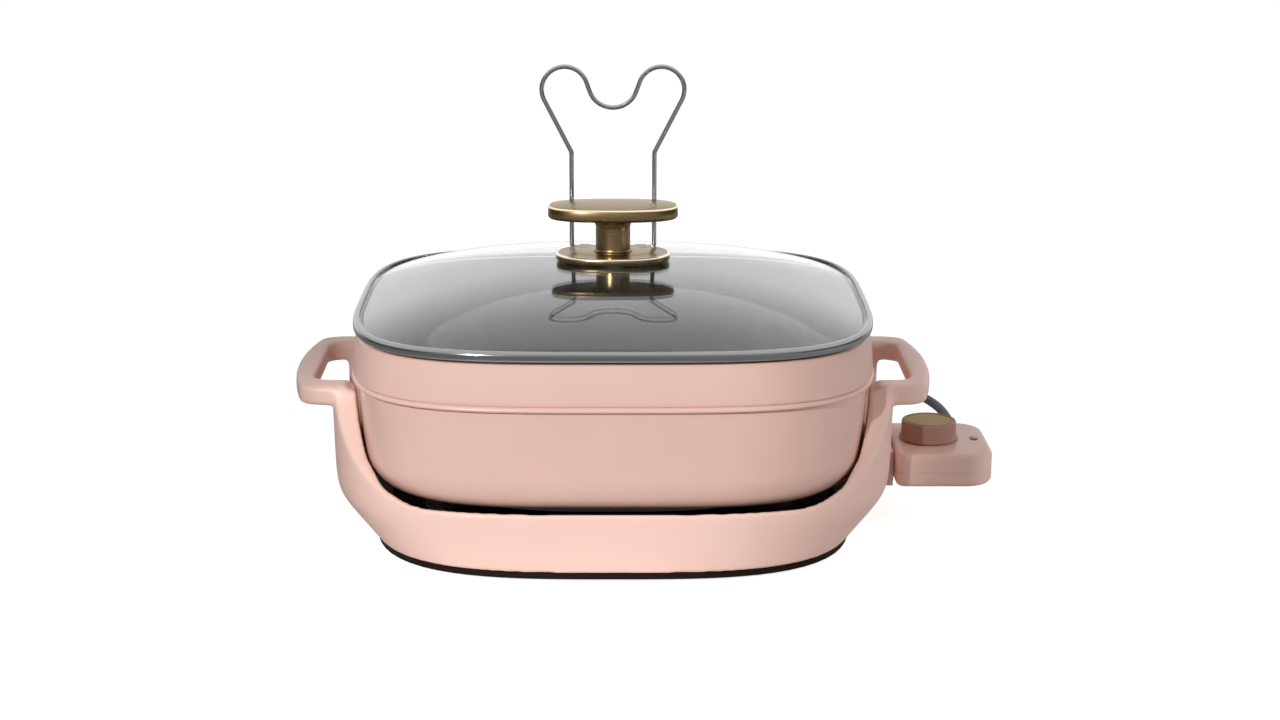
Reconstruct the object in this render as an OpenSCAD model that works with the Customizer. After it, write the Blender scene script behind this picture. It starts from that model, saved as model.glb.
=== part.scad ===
// Electric skillet: a squared pan in a cradle with two handles, a glass lid and a plug-in heat control.
// Millimetres, Z up, the table at z = 0, the front towards -Y, the origin under the middle of the pan.

/* [Base] */
// Half width of the base where it meets the table
base_a = 144.5; // [138:0.5:148]
// Half depth of the base where it meets the table
base_b = 133; // [128:0.5:136]
// Height of the rubber foot ring under the bottom plate
foot_h = 1.5; // [1:0.5:3]
// Thickness of the dark bottom plate
plate_t = 3.5; // [2.5:0.5:5]
// Height of the skirt above the bottom plate
skirt_h = 36; // [32:1:37]
// Wall of the cradle moulding
cradle_wall = 3.5; // [2.5:0.5:4.5]
// Half width of the cradle across its side arms
arm_a = 170; // [168:0.5:174]
// Height of the arms and handles above the table
arm_top = 97; // [94:0.5:98.5]

/* [Handles] */
// How far each handle reaches from the middle
handle_reach = 193.5; // [188:0.5:204]
// Half length of a handle, front to back
handle_half = 63; // [58:1:66]
// Thickness of a handle, top to bottom
handle_t = 12.5; // [10:0.5:15]
// Width of the handle's grip bar, seen from above
grip_w = 14.5; // [11:0.5:16]
// Depth of the finger cut in an arm, below the handle's top
finger_drop = 30; // [24:1:34]

/* [Pan] */
// Half width of the pan at its collar
pan_a = 155; // [152:0.5:156]
// Half depth of the pan at its collar
pan_b = 142.5; // [140:0.5:145]
// Squareness of the pan's outline: 2 is an ellipse
pan_n = 3.7; // [3:0.1:4.5]
// Height of the pan's underside above the table
pan_z = 39; // [38:0.5:41]
// Depth of the pan from its underside to its rim
pan_h = 92.5; // [90:0.5:98]
// Thickness of the cast wall
pan_wall = 3.5; // [2.5:0.5:4.5]
// Thickness of the pan's floor
pan_floor = 4; // [3:0.5:6]
// Radius of the bowl's lower edge
bowl_r = 26; // [24:1:34]
// Height of the collar band at the top of the pan
collar_h = 25.5; // [22:0.5:30]

/* [Lid] */
// Height of the lid's steel rim
rim_h = 6; // [5:0.5:8]
// Visible width of the steel rim, seen from above
rim_w = 5; // [4:0.5:7]
// Height of the glass dome above the rim
dome_h = 24; // [20:0.5:30]
// Thickness of the glass
glass_t = 3.5; // [3:0.5:5]

/* [Knob] */
// Width of the knob's cap
cap_w = 79; // [70:1:90]
// Depth of the knob's cap
cap_d = 40; // [34:1:41]
// Thickness of the knob's cap
cap_t = 9; // [7:0.5:12]
// Width of the knob's base plate
knob_w = 70; // [66:1:76]
// Depth of the knob's base plate
knob_d = 46; // [42:1:50]
// Thickness of the knob's base plate
knob_t = 4.5; // [4:0.5:6]
// Diameter of the knob's stem
stem_d = 21; // [18:0.5:24]
// Height of the stem between base plate and cap
stem_h = 21; // [20:0.5:28]

/* [Wire stand] */
// Diameter of the wire
wire_d = 2.8; // [2.4:0.1:3.2]
// Half distance between the legs
leg_x = 25.4; // [24.5:0.1:27]
// Height of the legs from the pivot to their outward bend
leg_h = 58; // [50:1:64]
// Height of the lobes' middle above the pivot
lobe_h = 98; // [92:1:110]
// Half distance between the lobes
lobe_x = 29.5; // [28:0.5:32]
// Radius of a lobe at the middle of the wire
lobe_r = 14; // [12:0.5:16]

/* [Heat control] */
// Length of the control's case, away from the pan
case_l = 60; // [56:1:68]
// Width of the case, front to back
case_w = 74; // [68:1:80]
// Height of the case
case_h = 20.5; // [19:0.5:24]
// Radius of the case's outer corners, seen from above
case_r = 17; // [12:1:20]
// Wall of the case's mouldings
case_wall = 2.2; // [1.8:0.1:2.6]
// Diameter of the dial
dial_d = 36; // [32:0.5:38]
// Height of the dial above the case
dial_h = 11.5; // [9:0.5:14]
// Diameter of the temperature probe
probe_d = 5.6; // [5:0.1:6.2]
// Reach of the probe past the case
probe_l = 74; // [70:1:80]

/* [Cord] */
// Diameter of the mains cord
cord_d = 6; // [5:0.5:7]

/* [Hidden] */
$fn = 48;
// Running gap between pieces that must not touch, and the play of a pin in its hole
gap = 0.3;
pin_play = 0.05;
eps = 0.01;
// Screw sizes: thread, head
screw_d = 3.8;
head_d = 7.5;
head_t = 2;

// Heights worked out from the sizes above
skirt_z = foot_h + plate_t;
skirt_top = skirt_z + skirt_h;
pan_top = pan_z + pan_h;
collar_z = pan_top - collar_h;
lid_z = pan_top + gap;
base_n = 3.2;
bead_h = 3.5;
bead_out = 1.2;
bowl_in = 5;

// Points round a superellipse of half sizes a and b, evenly turned about its middle
function oval(a, b, n, seg) = [for (i = [0 : seg - 1])
    let (t = 360 * i / seg, c = abs(cos(t)), s = abs(sin(t)),
         r = 1 / pow(pow(c / a, n) + pow(s / b, n), 1 / n))
    [r * cos(t), r * sin(t)]];

// Half width of a superellipse at depth y
function oval_x(a, b, n, y) = a * pow(max(0, 1 - pow(abs(y) / b, n)), 1 / n);

// A closed skin through a stack of [half width, half depth, power, height] rings
module loft(rings, seg = 72) {
    count = len(rings);
    points = [for (r = rings) for (p = oval(r[0], r[1], r[2], seg)) [p[0], p[1], r[3]]];
    sides = [for (k = [0 : count - 2]) for (i = [0 : seg - 1])
        let (j = (i + 1) % seg, a = k * seg + i, b = k * seg + j, c = b + seg, d = a + seg)
        each [[a, c, b], [a, d, c]]];
    caps = [[for (i = [0 : seg - 1]) i],
            [for (i = [seg - 1 : -1 : 0]) (count - 1) * seg + i]];
    polyhedron(points, concat(caps, sides), convexity = 6);
}

// The same, with the last ring joined to the first to make a hoop
module hoop(rings, seg = 72) {
    count = len(rings);
    points = [for (r = rings) for (p = oval(r[0], r[1], r[2], seg)) [p[0], p[1], r[3]]];
    sides = [for (k = [0 : count - 1]) for (i = [0 : seg - 1])
        let (m = (k + 1) % count, j = (i + 1) % seg,
             a = k * seg + i, b = k * seg + j, c = m * seg + j, d = m * seg + i)
        each [[a, c, b], [a, d, c]]];
    polyhedron(points, sides, convexity = 6);
}

// Points on an arc, from one angle to another
function arc(middle, radius, from, to, steps) = [for (k = [0 : steps])
    let (t = from + (to - from) * k / steps) middle + radius * [cos(t), sin(t)]];

function unit(v) = v / norm(v);
function heading(path, k) = unit(path[min(k + 1, len(path) - 1)] - path[max(k - 1, 0)]);

// A tube of the given radius through the points of a path
module tube(path, r, sides, normal = [0, 0, 1]) {
    last = len(path) - 1;
    points = [for (k = [0 : last])
        let (t = heading(path, k), across = unit(cross(t, normal)), up = cross(across, t))
        for (i = [0 : sides - 1]) let (a = 360 * (i + 0.5) / sides)
            path[k] + r * (cos(a) * across + sin(a) * up)];
    sides_faces = [for (k = [0 : last - 1]) for (i = [0 : sides - 1])
        let (j = (i + 1) % sides, a = k * sides + i, b = k * sides + j, c = b + sides, d = a + sides)
        each [[a, b, c], [a, c, d]]];
    ends = [for (i = [1 : sides - 2]) each [[0, i + 1, i],
        [last * sides, last * sides + i, last * sides + i + 1]]];
    polyhedron(points, concat(sides_faces, ends), convexity = 10);
}

// A flat plate with a superellipse outline
module oval_plate(a, b, n, h, seg = 96) {
    linear_extrude(h) polygon(oval(a, b, n, seg));
}

module at_each(places) {
    for (p = places) translate(p) children();
}

// Half width of the pan's outside below its bead: a rounded lower edge, then a slight flare
function bowl_a(z) = let (u = z - pan_z, side = pan_a - bowl_in)
    u < bowl_r ? side - bowl_r + sqrt(max(0, bowl_r * bowl_r - pow(bowl_r - u, 2)))
               : side + 3 * (u - bowl_r) / (collar_z - pan_z - bowl_r);
depth_less = pan_a - pan_b;

// Half width of the cradle's outside: a slope out of the base, a soft bend, then a nearly upright arm
flare_slope = 0.9;
flare_lean = 2;
flare_bend = 2.2;
function flare_a(z) = let (
    slope = base_a + flare_slope * (z - skirt_z),
    upright = arm_a - flare_lean * (arm_top - z) / (arm_top - skirt_z))
    (slope + upright) / 2 - sqrt(pow((slope - upright) / 2, 2) + flare_bend * flare_bend) + flare_start;
flare_start = sqrt(pow((arm_a - flare_lean - base_a) / 2, 2) + flare_bend * flare_bend)
    - (arm_a - flare_lean - base_a) / 2;

// Places of the fasteners and feet
boss_r = 5;
boss_inset = 6.5;
skirt_bosses = [for (t = [38, 90, 142, 218, 270, 322])
    let (c = abs(cos(t)), s = abs(sin(t)), a = base_a - boss_inset, b = base_b - boss_inset,
         r = 1 / pow(pow(c / a, base_n) + pow(s / b, base_n), 1 / base_n))
    [r * cos(t), r * sin(t), 0]];
pan_posts = [for (x = [-1, 1]) for (y = [-1, 1]) [x * 70, y * 62, 0]];
foot_inset = 13;
foot_w = 8;

// The heater under the pan, and the line that the probe slides along
casting_t = 10;
casting_z = pan_z - casting_t;
axis_z = pan_z - casting_t / 2;
casting_a = 104;
casting_b = 92;
element_r = 80;
element_d = 6.4;
groove_w = element_d + 2 * gap;
pin_y = 14;
pin_d = 4.8;
corner_r = 8;
corner_y = pin_y + corner_r;
corner_x = sqrt(pow(element_r + corner_r, 2) - pow(corner_y, 2));
element_turn = asin(corner_y / (element_r + corner_r));
block_x = 140;
block_t = 7;
pin_tip = arm_a - 4;
shield_z = 20;
shield_t = 0.8;
thread_depth = 7;

// The socket in the right arm
arm_seat = arm_top - handle_t;
arm_gap = 2;
arm_thin = 6;
window_w = 48;
window_h = 22;
window_z = axis_z - 11;
shroud_out = 1.7;
shroud_wall = 2;
shroud_x = arm_a - 20;

// Half depth of an arm, which widens from the handle down to the skirt
arm_foot = 12;
arm_taper = 1.4;
function arm_y(z) = let (u = max(0, (z - skirt_top) / (arm_top - skirt_top)))
    handle_half + (base_b - arm_foot - handle_half) * pow(1 - u, arm_taper);
// The arm's two faces: the flare outside, and a steady distance from the bowl inside
function arm_out(y, z) = oval_x(flare_a(z), base_b, base_n, y);
bowl_side_z = pan_z + bowl_r * 0.6;
function arm_in(y, z) = let (a = bowl_a(max(z, bowl_side_z)) + arm_gap)
    min(oval_x(a, a - depth_less, pan_n, y), arm_out(y, z) - arm_thin);

// The right arm as a skin over rows of heights and columns of depths
module arm_slab(rows = 12, columns = 20) {
    function row_z(k) = skirt_z + (arm_seat - skirt_z) * k / rows;
    function col_y(k, z) = arm_y(z) * (2 * k / columns - 1);
    across = columns + 1;
    face = (rows + 1) * across;
    grid = [for (k = [0 : rows]) for (c = [0 : columns]) [col_y(c, row_z(k)), row_z(k)]];
    points = concat([for (g = grid) [arm_out(g[0], g[1]), g[0], g[1]]],
                    [for (g = grid) [arm_in(g[0], g[1]), g[0], g[1]]]);
    skins = [for (k = [0 : rows - 1]) for (c = [0 : columns - 1])
        let (a = k * across + c, b = a + 1, d = a + across, e = d + 1)
        each [[a, d, e], [a, e, b], [face + a, face + e, face + d], [face + a, face + b, face + e]]];
    ends = [for (c = [0 : columns - 1]) let (a = c, t = rows * across + c)
        each [[a, a + 1, face + a + 1], [a, face + a + 1, face + a],
              [t, face + t + 1, t + 1], [t, face + t, face + t + 1]]];
    edges = [for (k = [0 : rows - 1]) let (a = k * across, b = a + across, f = a + columns, g = b + columns)
        each [[a, face + b, b], [a, face + a, face + b], [f, g, face + g], [f, face + g, face + f]]];
    polyhedron(points, concat(skins, ends, edges), convexity = 6);
}

// The cut for fingers in the top of an arm, seen along X
post_w = 19;
finger_half = handle_half - post_w;
finger_r = 10;
module finger_cut() {
    translate([pan_a - 30, 0, arm_top - finger_drop]) rotate([90, 0, 90]) linear_extrude(60) {
        translate([-finger_half, finger_r]) square([2 * finger_half, finger_drop]);
        translate([-finger_half + finger_r, 0]) square([2 * (finger_half - finger_r), finger_drop]);
        for (s = [-1, 1]) translate([s * (finger_half - finger_r), finger_r]) circle(finger_r);
    }
}

handle_screw_x = pan_a + 5;
handle_screw_y = (finger_half + handle_half) / 2 + 2;
handle_screw_seat = arm_seat - 14;
// Pockets in the arm's inner face, where the handle screws go in
pocket_x = 30;
pocket_w = head_d + 1;
pocket_h = 32;
handle_screws_right = [for (s = [-1, 1]) [handle_screw_x, s * handle_screw_y, 0]];

module arm() {
    difference() {
        arm_slab();
        finger_cut();
        at_each(handle_screws_right) {
            translate([-pocket_x, -pocket_w / 2, handle_screw_seat - pocket_h])
                cube([pocket_x + pocket_w / 2, pocket_w, pocket_h]);
            translate([0, 0, handle_screw_seat - 1]) cylinder(d = screw_d + 0.4, h = arm_top);
        }
    }
}

module socket_window() {
    translate([shroud_x - 40, -window_w / 2, window_z]) cube([80, window_w, window_h]);
}

// The skirt flares with the arms, and lies a little inside their faces
skirt_share = 0.97;
function skirt_a(z) = base_a + (flare_a(z) - base_a) * skirt_share;
module skirt(rows = 6) {
    rise = [for (k = [0 : rows]) skirt_z + skirt_h * k / rows];
    outside = [for (z = rise) [skirt_a(z), base_b, base_n, z]];
    inside = [for (k = [rows : -1 : 0]) [skirt_a(rise[k]) - cradle_wall, base_b - cradle_wall, base_n, rise[k]]];
    hoop(concat(outside, inside), 96);
}

module cradle() color("#EBC4B8") difference() {
    union() {
        skirt();
        at_each(skirt_bosses) translate([0, 0, skirt_z]) cylinder(r = boss_r, h = 14);
        arm();
        mirror([1, 0, 0]) arm();
    }
    socket_window();
    at_each(skirt_bosses) cylinder(d = screw_d - 0.4, h = skirt_z + 11);
}

handle_in = pan_a + 1.5;
handle_corner = 22;
// Radius of the grip's bowed outer edge
handle_bow = 230;
module handle_outline() {
    corner = min(handle_corner, handle_reach - handle_in - gap);
    opening = handle_reach - grip_w;
    inner_r = min(finger_r, opening - handle_in - gap);
    difference() {
        intersection() {
            union() {
                translate([handle_in, -handle_half])
                    square([handle_reach - corner - handle_in, 2 * handle_half]);
                translate([handle_in, -handle_half + corner])
                    square([handle_reach - handle_in, 2 * (handle_half - corner)]);
                for (s = [-1, 1]) translate([handle_reach - corner, s * (handle_half - corner)])
                    circle(corner);
            }
            translate([handle_reach - handle_bow, 0]) circle(handle_bow, $fn = 240);
        }
        translate([handle_in - corner, -handle_half]) square([corner, 2 * handle_half]);
        translate([handle_in - 1, -finger_half])
            square([opening - inner_r - handle_in + 1, 2 * finger_half]);
        translate([handle_in - 1, -finger_half + inner_r])
            square([opening - handle_in + 1, 2 * (finger_half - inner_r)]);
        for (s = [-1, 1]) translate([opening - inner_r, s * (finger_half - inner_r)]) circle(inner_r);
    }
}

module handle() color("#EBC4B8") difference() {
    translate([0, 0, arm_seat]) linear_extrude(handle_t) handle_outline();
    at_each(handle_screws_right)
        translate([0, 0, arm_seat - eps]) cylinder(d = screw_d - 0.4, h = thread_depth + 1);
}
module handle_right() handle();
module handle_left() mirror([1, 0, 0]) handle();

// A pan-head screw that points up, with the underside of its head at z = 0
module screw(length) {
    translate([0, 0, -head_t]) cylinder(d = head_d, h = head_t);
    cylinder(d = screw_d - 0.5, h = length);
}
module handle_screws() color("#8A8D90") for (side = [0, 1]) mirror([side, 0, 0])
    at_each(handle_screws_right) translate([0, 0, handle_screw_seat])
        screw(arm_seat - handle_screw_seat + thread_depth);

// The base's inside
head_sink = head_t + 0.2;
foot_sink = 1.5;
post_d = 12;
module bottom_plate() color("#2A1D17") difference() {
    union() {
        translate([0, 0, foot_h]) oval_plate(base_a - 0.5, base_b - 0.5, base_n, plate_t);
        at_each(pan_posts) translate([0, 0, skirt_z - eps])
            cylinder(d = post_d, h = shield_z - skirt_z + eps);
    }
    at_each(concat(skirt_bosses, pan_posts)) {
        cylinder(d = head_d + 0.6, h = foot_h + head_sink);
        cylinder(d = screw_d + 0.4, h = shield_z + 1);
    }
    foot_band(0.2, foot_h + foot_sink);
}

// A band inside the base's edge, with room for a fit on both sides
module foot_band(room, h) {
    linear_extrude(h) difference() {
        polygon(oval(base_a - foot_inset + room, base_b - foot_inset + room, base_n, 96));
        polygon(oval(base_a - foot_inset - foot_w - room, base_b - foot_inset - foot_w - room, base_n, 96));
    }
}
module foot_ring() color("#1E1E1F") foot_band(0, foot_h + foot_sink);

module base_screws() color("#8A8D90") at_each(skirt_bosses)
    translate([0, 0, foot_h + head_sink]) screw(12);

module pan_screws() color("#8A8D90") at_each(pan_posts)
    translate([0, 0, foot_h + head_sink]) screw(casting_z + thread_depth - foot_h - head_sink);

module heat_shield() color("#B9BDC0") translate([0, 0, shield_z]) difference() {
    oval_plate(casting_a + 14, casting_b + 14, 3, shield_t);
    at_each(pan_posts) translate([0, 0, -1]) cylinder(d = screw_d + 0.4, h = shield_t + 2);
}

module insulating_washers() color("#E9E6DC") at_each(pan_posts)
    translate([0, 0, shield_z + shield_t]) difference() {
        cylinder(d = post_d, h = casting_z - shield_z - shield_t);
        translate([0, 0, -1]) cylinder(d = screw_d + 0.4, h = casting_z);
    }

// The pan: outside from the underside up to the rim, then inside down to the floor
lip_in = 2;
pan_in = pan_wall + 0.5;
function pan_ring(a, z) = [a, a - depth_less, pan_n, z];
module pan() color("#E4C0B5") {
    arc_steps = 6;
    bead_z = collar_z - bead_h;
    outside = concat(
        [for (k = [0 : arc_steps])
            let (z = pan_z + bowl_r * (1 - cos(90 * k / arc_steps))) pan_ring(bowl_a(z), z)],
        [pan_ring(bowl_a(bead_z), bead_z), pan_ring(pan_a, bead_z + 0.8),
         pan_ring(pan_a + bead_out, bead_z + 1.8), pan_ring(pan_a + bead_out, collar_z - 0.8),
         pan_ring(pan_a + 0.4, collar_z),
         pan_ring(pan_a - lip_in, pan_top - 1), pan_ring(pan_a - lip_in - 0.6, pan_top)]);
    inner_r = bowl_r - pan_wall;
    floor_z = pan_z + pan_floor;
    inside = concat(
        [pan_ring(pan_a - lip_in - pan_in, pan_top), pan_ring(bowl_a(bead_z) - pan_in, bead_z)],
        [for (k = [0 : arc_steps]) let (t = 90 * k / arc_steps, side = pan_a - bowl_in - pan_in)
            pan_ring(side - inner_r * (1 - cos(t)), floor_z + inner_r * (1 - sin(t)))]);
    loft(concat(outside, inside));
}

module heater_casting() color("#AFB3B6") difference() {
    tongue_w = 2 * (pin_y - groove_w / 2) - 1;
    tongue_x = casting_a - 20;
    translate([0, 0, casting_z]) union() {
        oval_plate(casting_a, casting_b, 3, casting_t);
        translate([tongue_x, -tongue_w / 2, 0]) cube([block_x - 2 - tongue_x, tongue_w, casting_t]);
    }
    translate([0, 0, casting_z - eps]) difference() {
        cylinder(r = element_r + groove_w / 2, h = axis_z - casting_z + groove_w / 2, $fn = 96);
        translate([0, 0, -1]) cylinder(r = element_r - groove_w / 2, h = casting_t + 2, $fn = 96);
    }
    for (s = [-1, 1]) translate([0, 0, casting_z - eps]) linear_extrude(axis_z - casting_z + groove_w / 2) {
        translate([corner_x - eps, s * pin_y - groove_w / 2]) square([casting_a, groove_w]);
        translate([element_r - groove_w, s > 0 ? pin_y - groove_w / 2 : -corner_y])
            square([corner_x - element_r + groove_w, corner_y - pin_y + groove_w / 2]);
    }
    translate([probe_tip - 3, 0, axis_z]) rotate([0, 90, 0]) cylinder(d = probe_d + 0.8, h = 60);
    at_each(pan_posts) translate([0, 0, casting_z - eps]) cylinder(d = screw_d - 0.4, h = thread_depth + 1);
}

// A ring of tube whose two ends turn out into legs
function ring_turn(k) = element_turn + (180 - element_turn) * k / 20;
element_half = concat([[block_x, pin_y]], arc([corner_x, corner_y], corner_r, 270, 180 + element_turn, 5),
    [for (k = [1 : 20]) element_r * [cos(ring_turn(k)), sin(ring_turn(k))]]);
element_path = concat([for (p = element_half) [p[0], p[1], axis_z]],
    [for (k = [len(element_half) - 2 : -1 : 0]) [element_half[k][0], -element_half[k][1], axis_z]]);
module heating_element() color("#6F6A66") tube(element_path, element_d / 2, 8);

module terminal_pins() color("#C9C6BE") for (s = [-1, 1]) translate([block_x, s * pin_y, axis_z])
    rotate([0, 90, 0]) {
        cylinder(d = pin_d, h = pin_tip - block_x - 2);
        translate([0, 0, pin_tip - block_x - 2]) cylinder(d1 = pin_d, d2 = pin_d - 2, h = 2);
    }

module terminal_block() color("#EDEAE0") difference() {
    translate([block_x, -pin_y - 7, axis_z - 7]) cube([block_t, 2 * pin_y + 14, 13]);
    for (s = [-1, 1]) translate([block_x - 1, s * pin_y, axis_z]) rotate([0, 90, 0])
        cylinder(d = pin_d + 2 * pin_play, h = block_t + 2);
    translate([block_x - 1, 0, axis_z]) rotate([0, 90, 0]) cylinder(d = probe_d + 3, h = block_t + 2);
}

// The moulded socket that lines the window in the right arm
module socket_shroud() color("#E3BBAF") {
    length = arm_a + shroud_out - shroud_x;
    difference() {
        translate([shroud_x, -window_w / 2 + gap, window_z + gap])
            cube([length, window_w - 2 * gap, window_h - 2 * gap]);
        translate([shroud_x - 1, -window_w / 2 + gap + shroud_wall, window_z + gap + shroud_wall])
            cube([length + 2, window_w - 2 * (gap + shroud_wall), window_h - 2 * (gap + shroud_wall)]);
    }
}

// The lid: a steel rim folded round the edge of a glass dome
seat_gap = 0.15;
rim_lip = (rim_h - glass_t) / 2 - seat_gap;
glass_z = lid_z + rim_lip + seat_gap;
glass_edge = 1.8;
flange_a = pan_a - rim_w - 1;
dome_power = 2.4;
hole_r = 5;
function dome_top(s) = glass_z + glass_t + dome_h * (1 - pow(s, dome_power));
apex = dome_top(hole_r / flange_a);

module lid_rim() color("#C9CCCD") {
    top = lid_z + rim_h;
    channel = pan_a - glass_edge + 0.4;
    hoop([pan_ring(pan_a, lid_z + 1), pan_ring(pan_a, top - 1.4), pan_ring(pan_a - 1.2, top),
          pan_ring(pan_a - rim_w, top), pan_ring(pan_a - rim_w, top - rim_lip),
          pan_ring(channel, top - rim_lip), pan_ring(channel, lid_z + rim_lip),
          pan_ring(pan_a - rim_w, lid_z + rim_lip), pan_ring(pan_a - rim_w, lid_z),
          pan_ring(pan_a - 1, lid_z)]);
}

// Rings across the dome, from a squared outline at the flange to a round hole in the middle
function dome_ring(s, z) = [flange_a * s, (flange_a - depth_less * s) * s, 2 + (pan_n - 2) * s, z];
module lid_glass() color([0.72, 0.76, 0.78, 0.4]) {
    shares = [1, 0.97, 0.92, 0.85, 0.76, 0.65, 0.52, 0.38, 0.24, 0.12];
    back = [for (k = [len(shares) - 1 : -1 : 0]) shares[k]];
    edge = pan_a - glass_edge;
    hoop(concat(
        [pan_ring(edge, glass_z + 0.6), pan_ring(edge, glass_z + glass_t - 0.6),
         pan_ring(edge - 0.6, glass_z + glass_t)],
        [for (s = shares) dome_ring(s, dome_top(s))],
        [[hole_r, hole_r, 2, apex], [hole_r, hole_r, 2, apex - glass_t]],
        [for (s = back) dome_ring(s, dome_top(s) - glass_t)],
        [pan_ring(edge - 0.6, glass_z)]));
}

// The knob, clamped to the glass by a screw from below
gasket_t = 0.5;
gasket_play = 0.1;
knob_z = apex + gasket_t;
stem_z = knob_z + knob_t;
cap_z = stem_z + stem_h;
knob_n = 2.3;
cap_n = 2.6;
bolt_d = 4;
bolt_head_d = 14;
wire_y = cap_d / 2 + 1;
pivot_z = knob_z + knob_t / 2 + 0.1;
ear_l = 8;
foot_bend_r = 2.4;
knee_r = 6;
pin_root = 1.5;
pivot_d = wire_d - 0.3;
ear_x = leg_x - foot_bend_r - pin_root - gap - ear_l;

module knob_gaskets() color("#3A3A3C") for (z = [knob_z - gasket_t, apex - glass_t - gasket_t])
    translate([0, 0, z]) difference() {
        cylinder(d = stem_d + 3, h = gasket_t - gasket_play);
        translate([0, 0, -1]) cylinder(d = bolt_d + 0.4, h = 4);
    }

module knob_base() color("#A08A5B") difference() {
    union() {
        loft([[knob_w / 2 - 2, knob_d / 2 - 2, knob_n, knob_z],
              [knob_w / 2, knob_d / 2, knob_n, knob_z + 1.4],
              [knob_w / 2, knob_d / 2, knob_n, knob_z + 2.6],
              [knob_w / 2 - 1.6, knob_d / 2 - 1.6, knob_n, stem_z - 0.4],
              [knob_w / 2 - 4, knob_d / 2 - 4, knob_n, stem_z]], 56);
        for (s = [0, 1]) mirror([s, 0, 0]) translate([ear_x, knob_d / 2 - 12, knob_z + 0.4])
            cube([ear_l, wire_y + wire_d - knob_d / 2 + 12, knob_t - 0.6]);
    }
    translate([0, 0, knob_z - 1]) cylinder(d = bolt_d + 0.4, h = knob_t + 2);
    for (s = [0, 1]) mirror([s, 0, 0]) translate([ear_x - 1, wire_y, pivot_z]) rotate([0, 90, 0])
        cylinder(d = pivot_d + 2 * pin_play, h = ear_l + 2);
}

module knob_stem() color("#A08A5B") difference() {
    r = stem_d / 2;
    translate([0, 0, stem_z]) rotate_extrude() polygon([[0, 0], [r + 1, 0], [r + 0.8, 0.8], [r, 1.6],
        [r, stem_h - 4], [r + 0.8, stem_h - 2.2], [r + 2.4, stem_h - 0.8], [r + 2.4, stem_h], [0, stem_h]]);
    translate([0, 0, stem_z - 1]) cylinder(d = bolt_d + 0.2, h = stem_h - 3);
}

module knob_cap() color("#A08A5B") loft([
    [cap_w / 2 - 2.5, cap_d / 2 - 2.5, cap_n, cap_z], [cap_w / 2 - 0.5, cap_d / 2 - 0.5, cap_n, cap_z + 1],
    [cap_w / 2, cap_d / 2, cap_n, cap_z + 2.4], [cap_w / 2, cap_d / 2, cap_n, cap_z + cap_t - 3],
    [cap_w / 2 - 0.8, cap_d / 2 - 0.8, cap_n, cap_z + cap_t - 1.6],
    [cap_w / 2 - 3, cap_d / 2 - 3, cap_n, cap_z + cap_t - 0.6],
    [cap_w / 4, cap_d / 4, cap_n, cap_z + cap_t]], 56);

module knob_bolt() color("#B9BDC0") translate([0, 0, apex - glass_t - gasket_t]) {
    translate([0, 0, -3]) cylinder(d = bolt_head_d, h = 3);
    cylinder(d = bolt_d, h = stem_z + stem_h - 6 - apex + glass_t + gasket_t);
}

// The wire stand: legs, outward struts, two lobes and the dip between them, in one plane, on two pivot pins
knee = [leg_x + knee_r, leg_h];
to_lobe = [lobe_x, lobe_h] - knee;
strut_turn = atan2(to_lobe[0], to_lobe[1]) + asin((lobe_r + knee_r) / norm(to_lobe));
dip_r = lobe_x - lobe_r;
wire_right = concat(
    [[leg_x - foot_bend_r - pin_root, 0]],
    arc([leg_x - foot_bend_r, foot_bend_r], foot_bend_r, -90, 0, 4),
    arc(knee, knee_r, 180, 180 - strut_turn, 3),
    arc([lobe_x, lobe_h], lobe_r, -strut_turn, 180, 15),
    [for (k = [1 : 6]) [dip_r * cos(15 * k), lobe_h - dip_r * sin(15 * k)]]);
wire_path = concat([for (p = wire_right) [p[0], 0, p[1]]],
    [for (k = [len(wire_right) - 2 : -1 : 0]) [-wire_right[k][0], 0, wire_right[k][1]]]);
module wire_stand() color("#B4B7B8") translate([0, wire_y, pivot_z]) {
    tube(wire_path, wire_d / 2, 10, [0, 1, 0]);
    for (s = [0, 1]) mirror([s, 0, 0]) translate([ear_x, 0, 0]) rotate([0, 90, 0])
        cylinder(d = pivot_d, h = ear_l + gap + pin_root, $fn = 24);
}

// The heat control: two case shells, a nose that enters the socket, the probe and the thermostat
case_x = arm_a + shroud_out + 2 * gap;
case_z = axis_z - 8;
case_top = case_z + case_h;
split_z = case_z + 9;
back_r = 6;
nose_w = window_w - 2 * (shroud_wall + 3 * gap);
nose_h = window_h - 2 * (shroud_wall + 3 * gap);
nose_x = shroud_x + 6;
sleeve_d = 7;
sleeve_bore = pin_d + 1;
sleeve_x = nose_x + 1;
sleeve_l = case_x - sleeve_x + 8;
probe_tip = case_x - probe_l;
probe_root = case_x + 12;
dial_x = case_x + 23.5;
shaft_d = 6;
switch_top = case_top - case_wall - 3;
switch_l = 24;
relief_x = case_x + 46;
relief_z = split_z + 1.5;
relief_d = 11;
relief_l = 24;
relief_inner = 4;
lens_x = case_x + 51.5;
lens_d = 5;
lens_w = 9;
case_posts = [for (x = [9, case_l - 14]) for (s = [-1, 1]) [case_x + x, s * (case_w / 2 - 11), 0]];
case_post_d = 7;

module case_outline(inset) {
    r = case_r - inset;
    q = max(back_r - inset, 1);
    half = case_w / 2 - inset;
    left = case_x + inset;
    right = case_x + case_l - inset;
    translate([left, -half + q]) square([q, 2 * (half - q)]);
    translate([left + q, -half]) square([right - r - left - q, 2 * half]);
    translate([right - r, -half + r]) square([r, 2 * (half - r)]);
    for (s = [-1, 1]) {
        translate([left + q, s * (half - q)]) circle(q);
        translate([right - r, s * (half - r)]) circle(r);
    }
}

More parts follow.
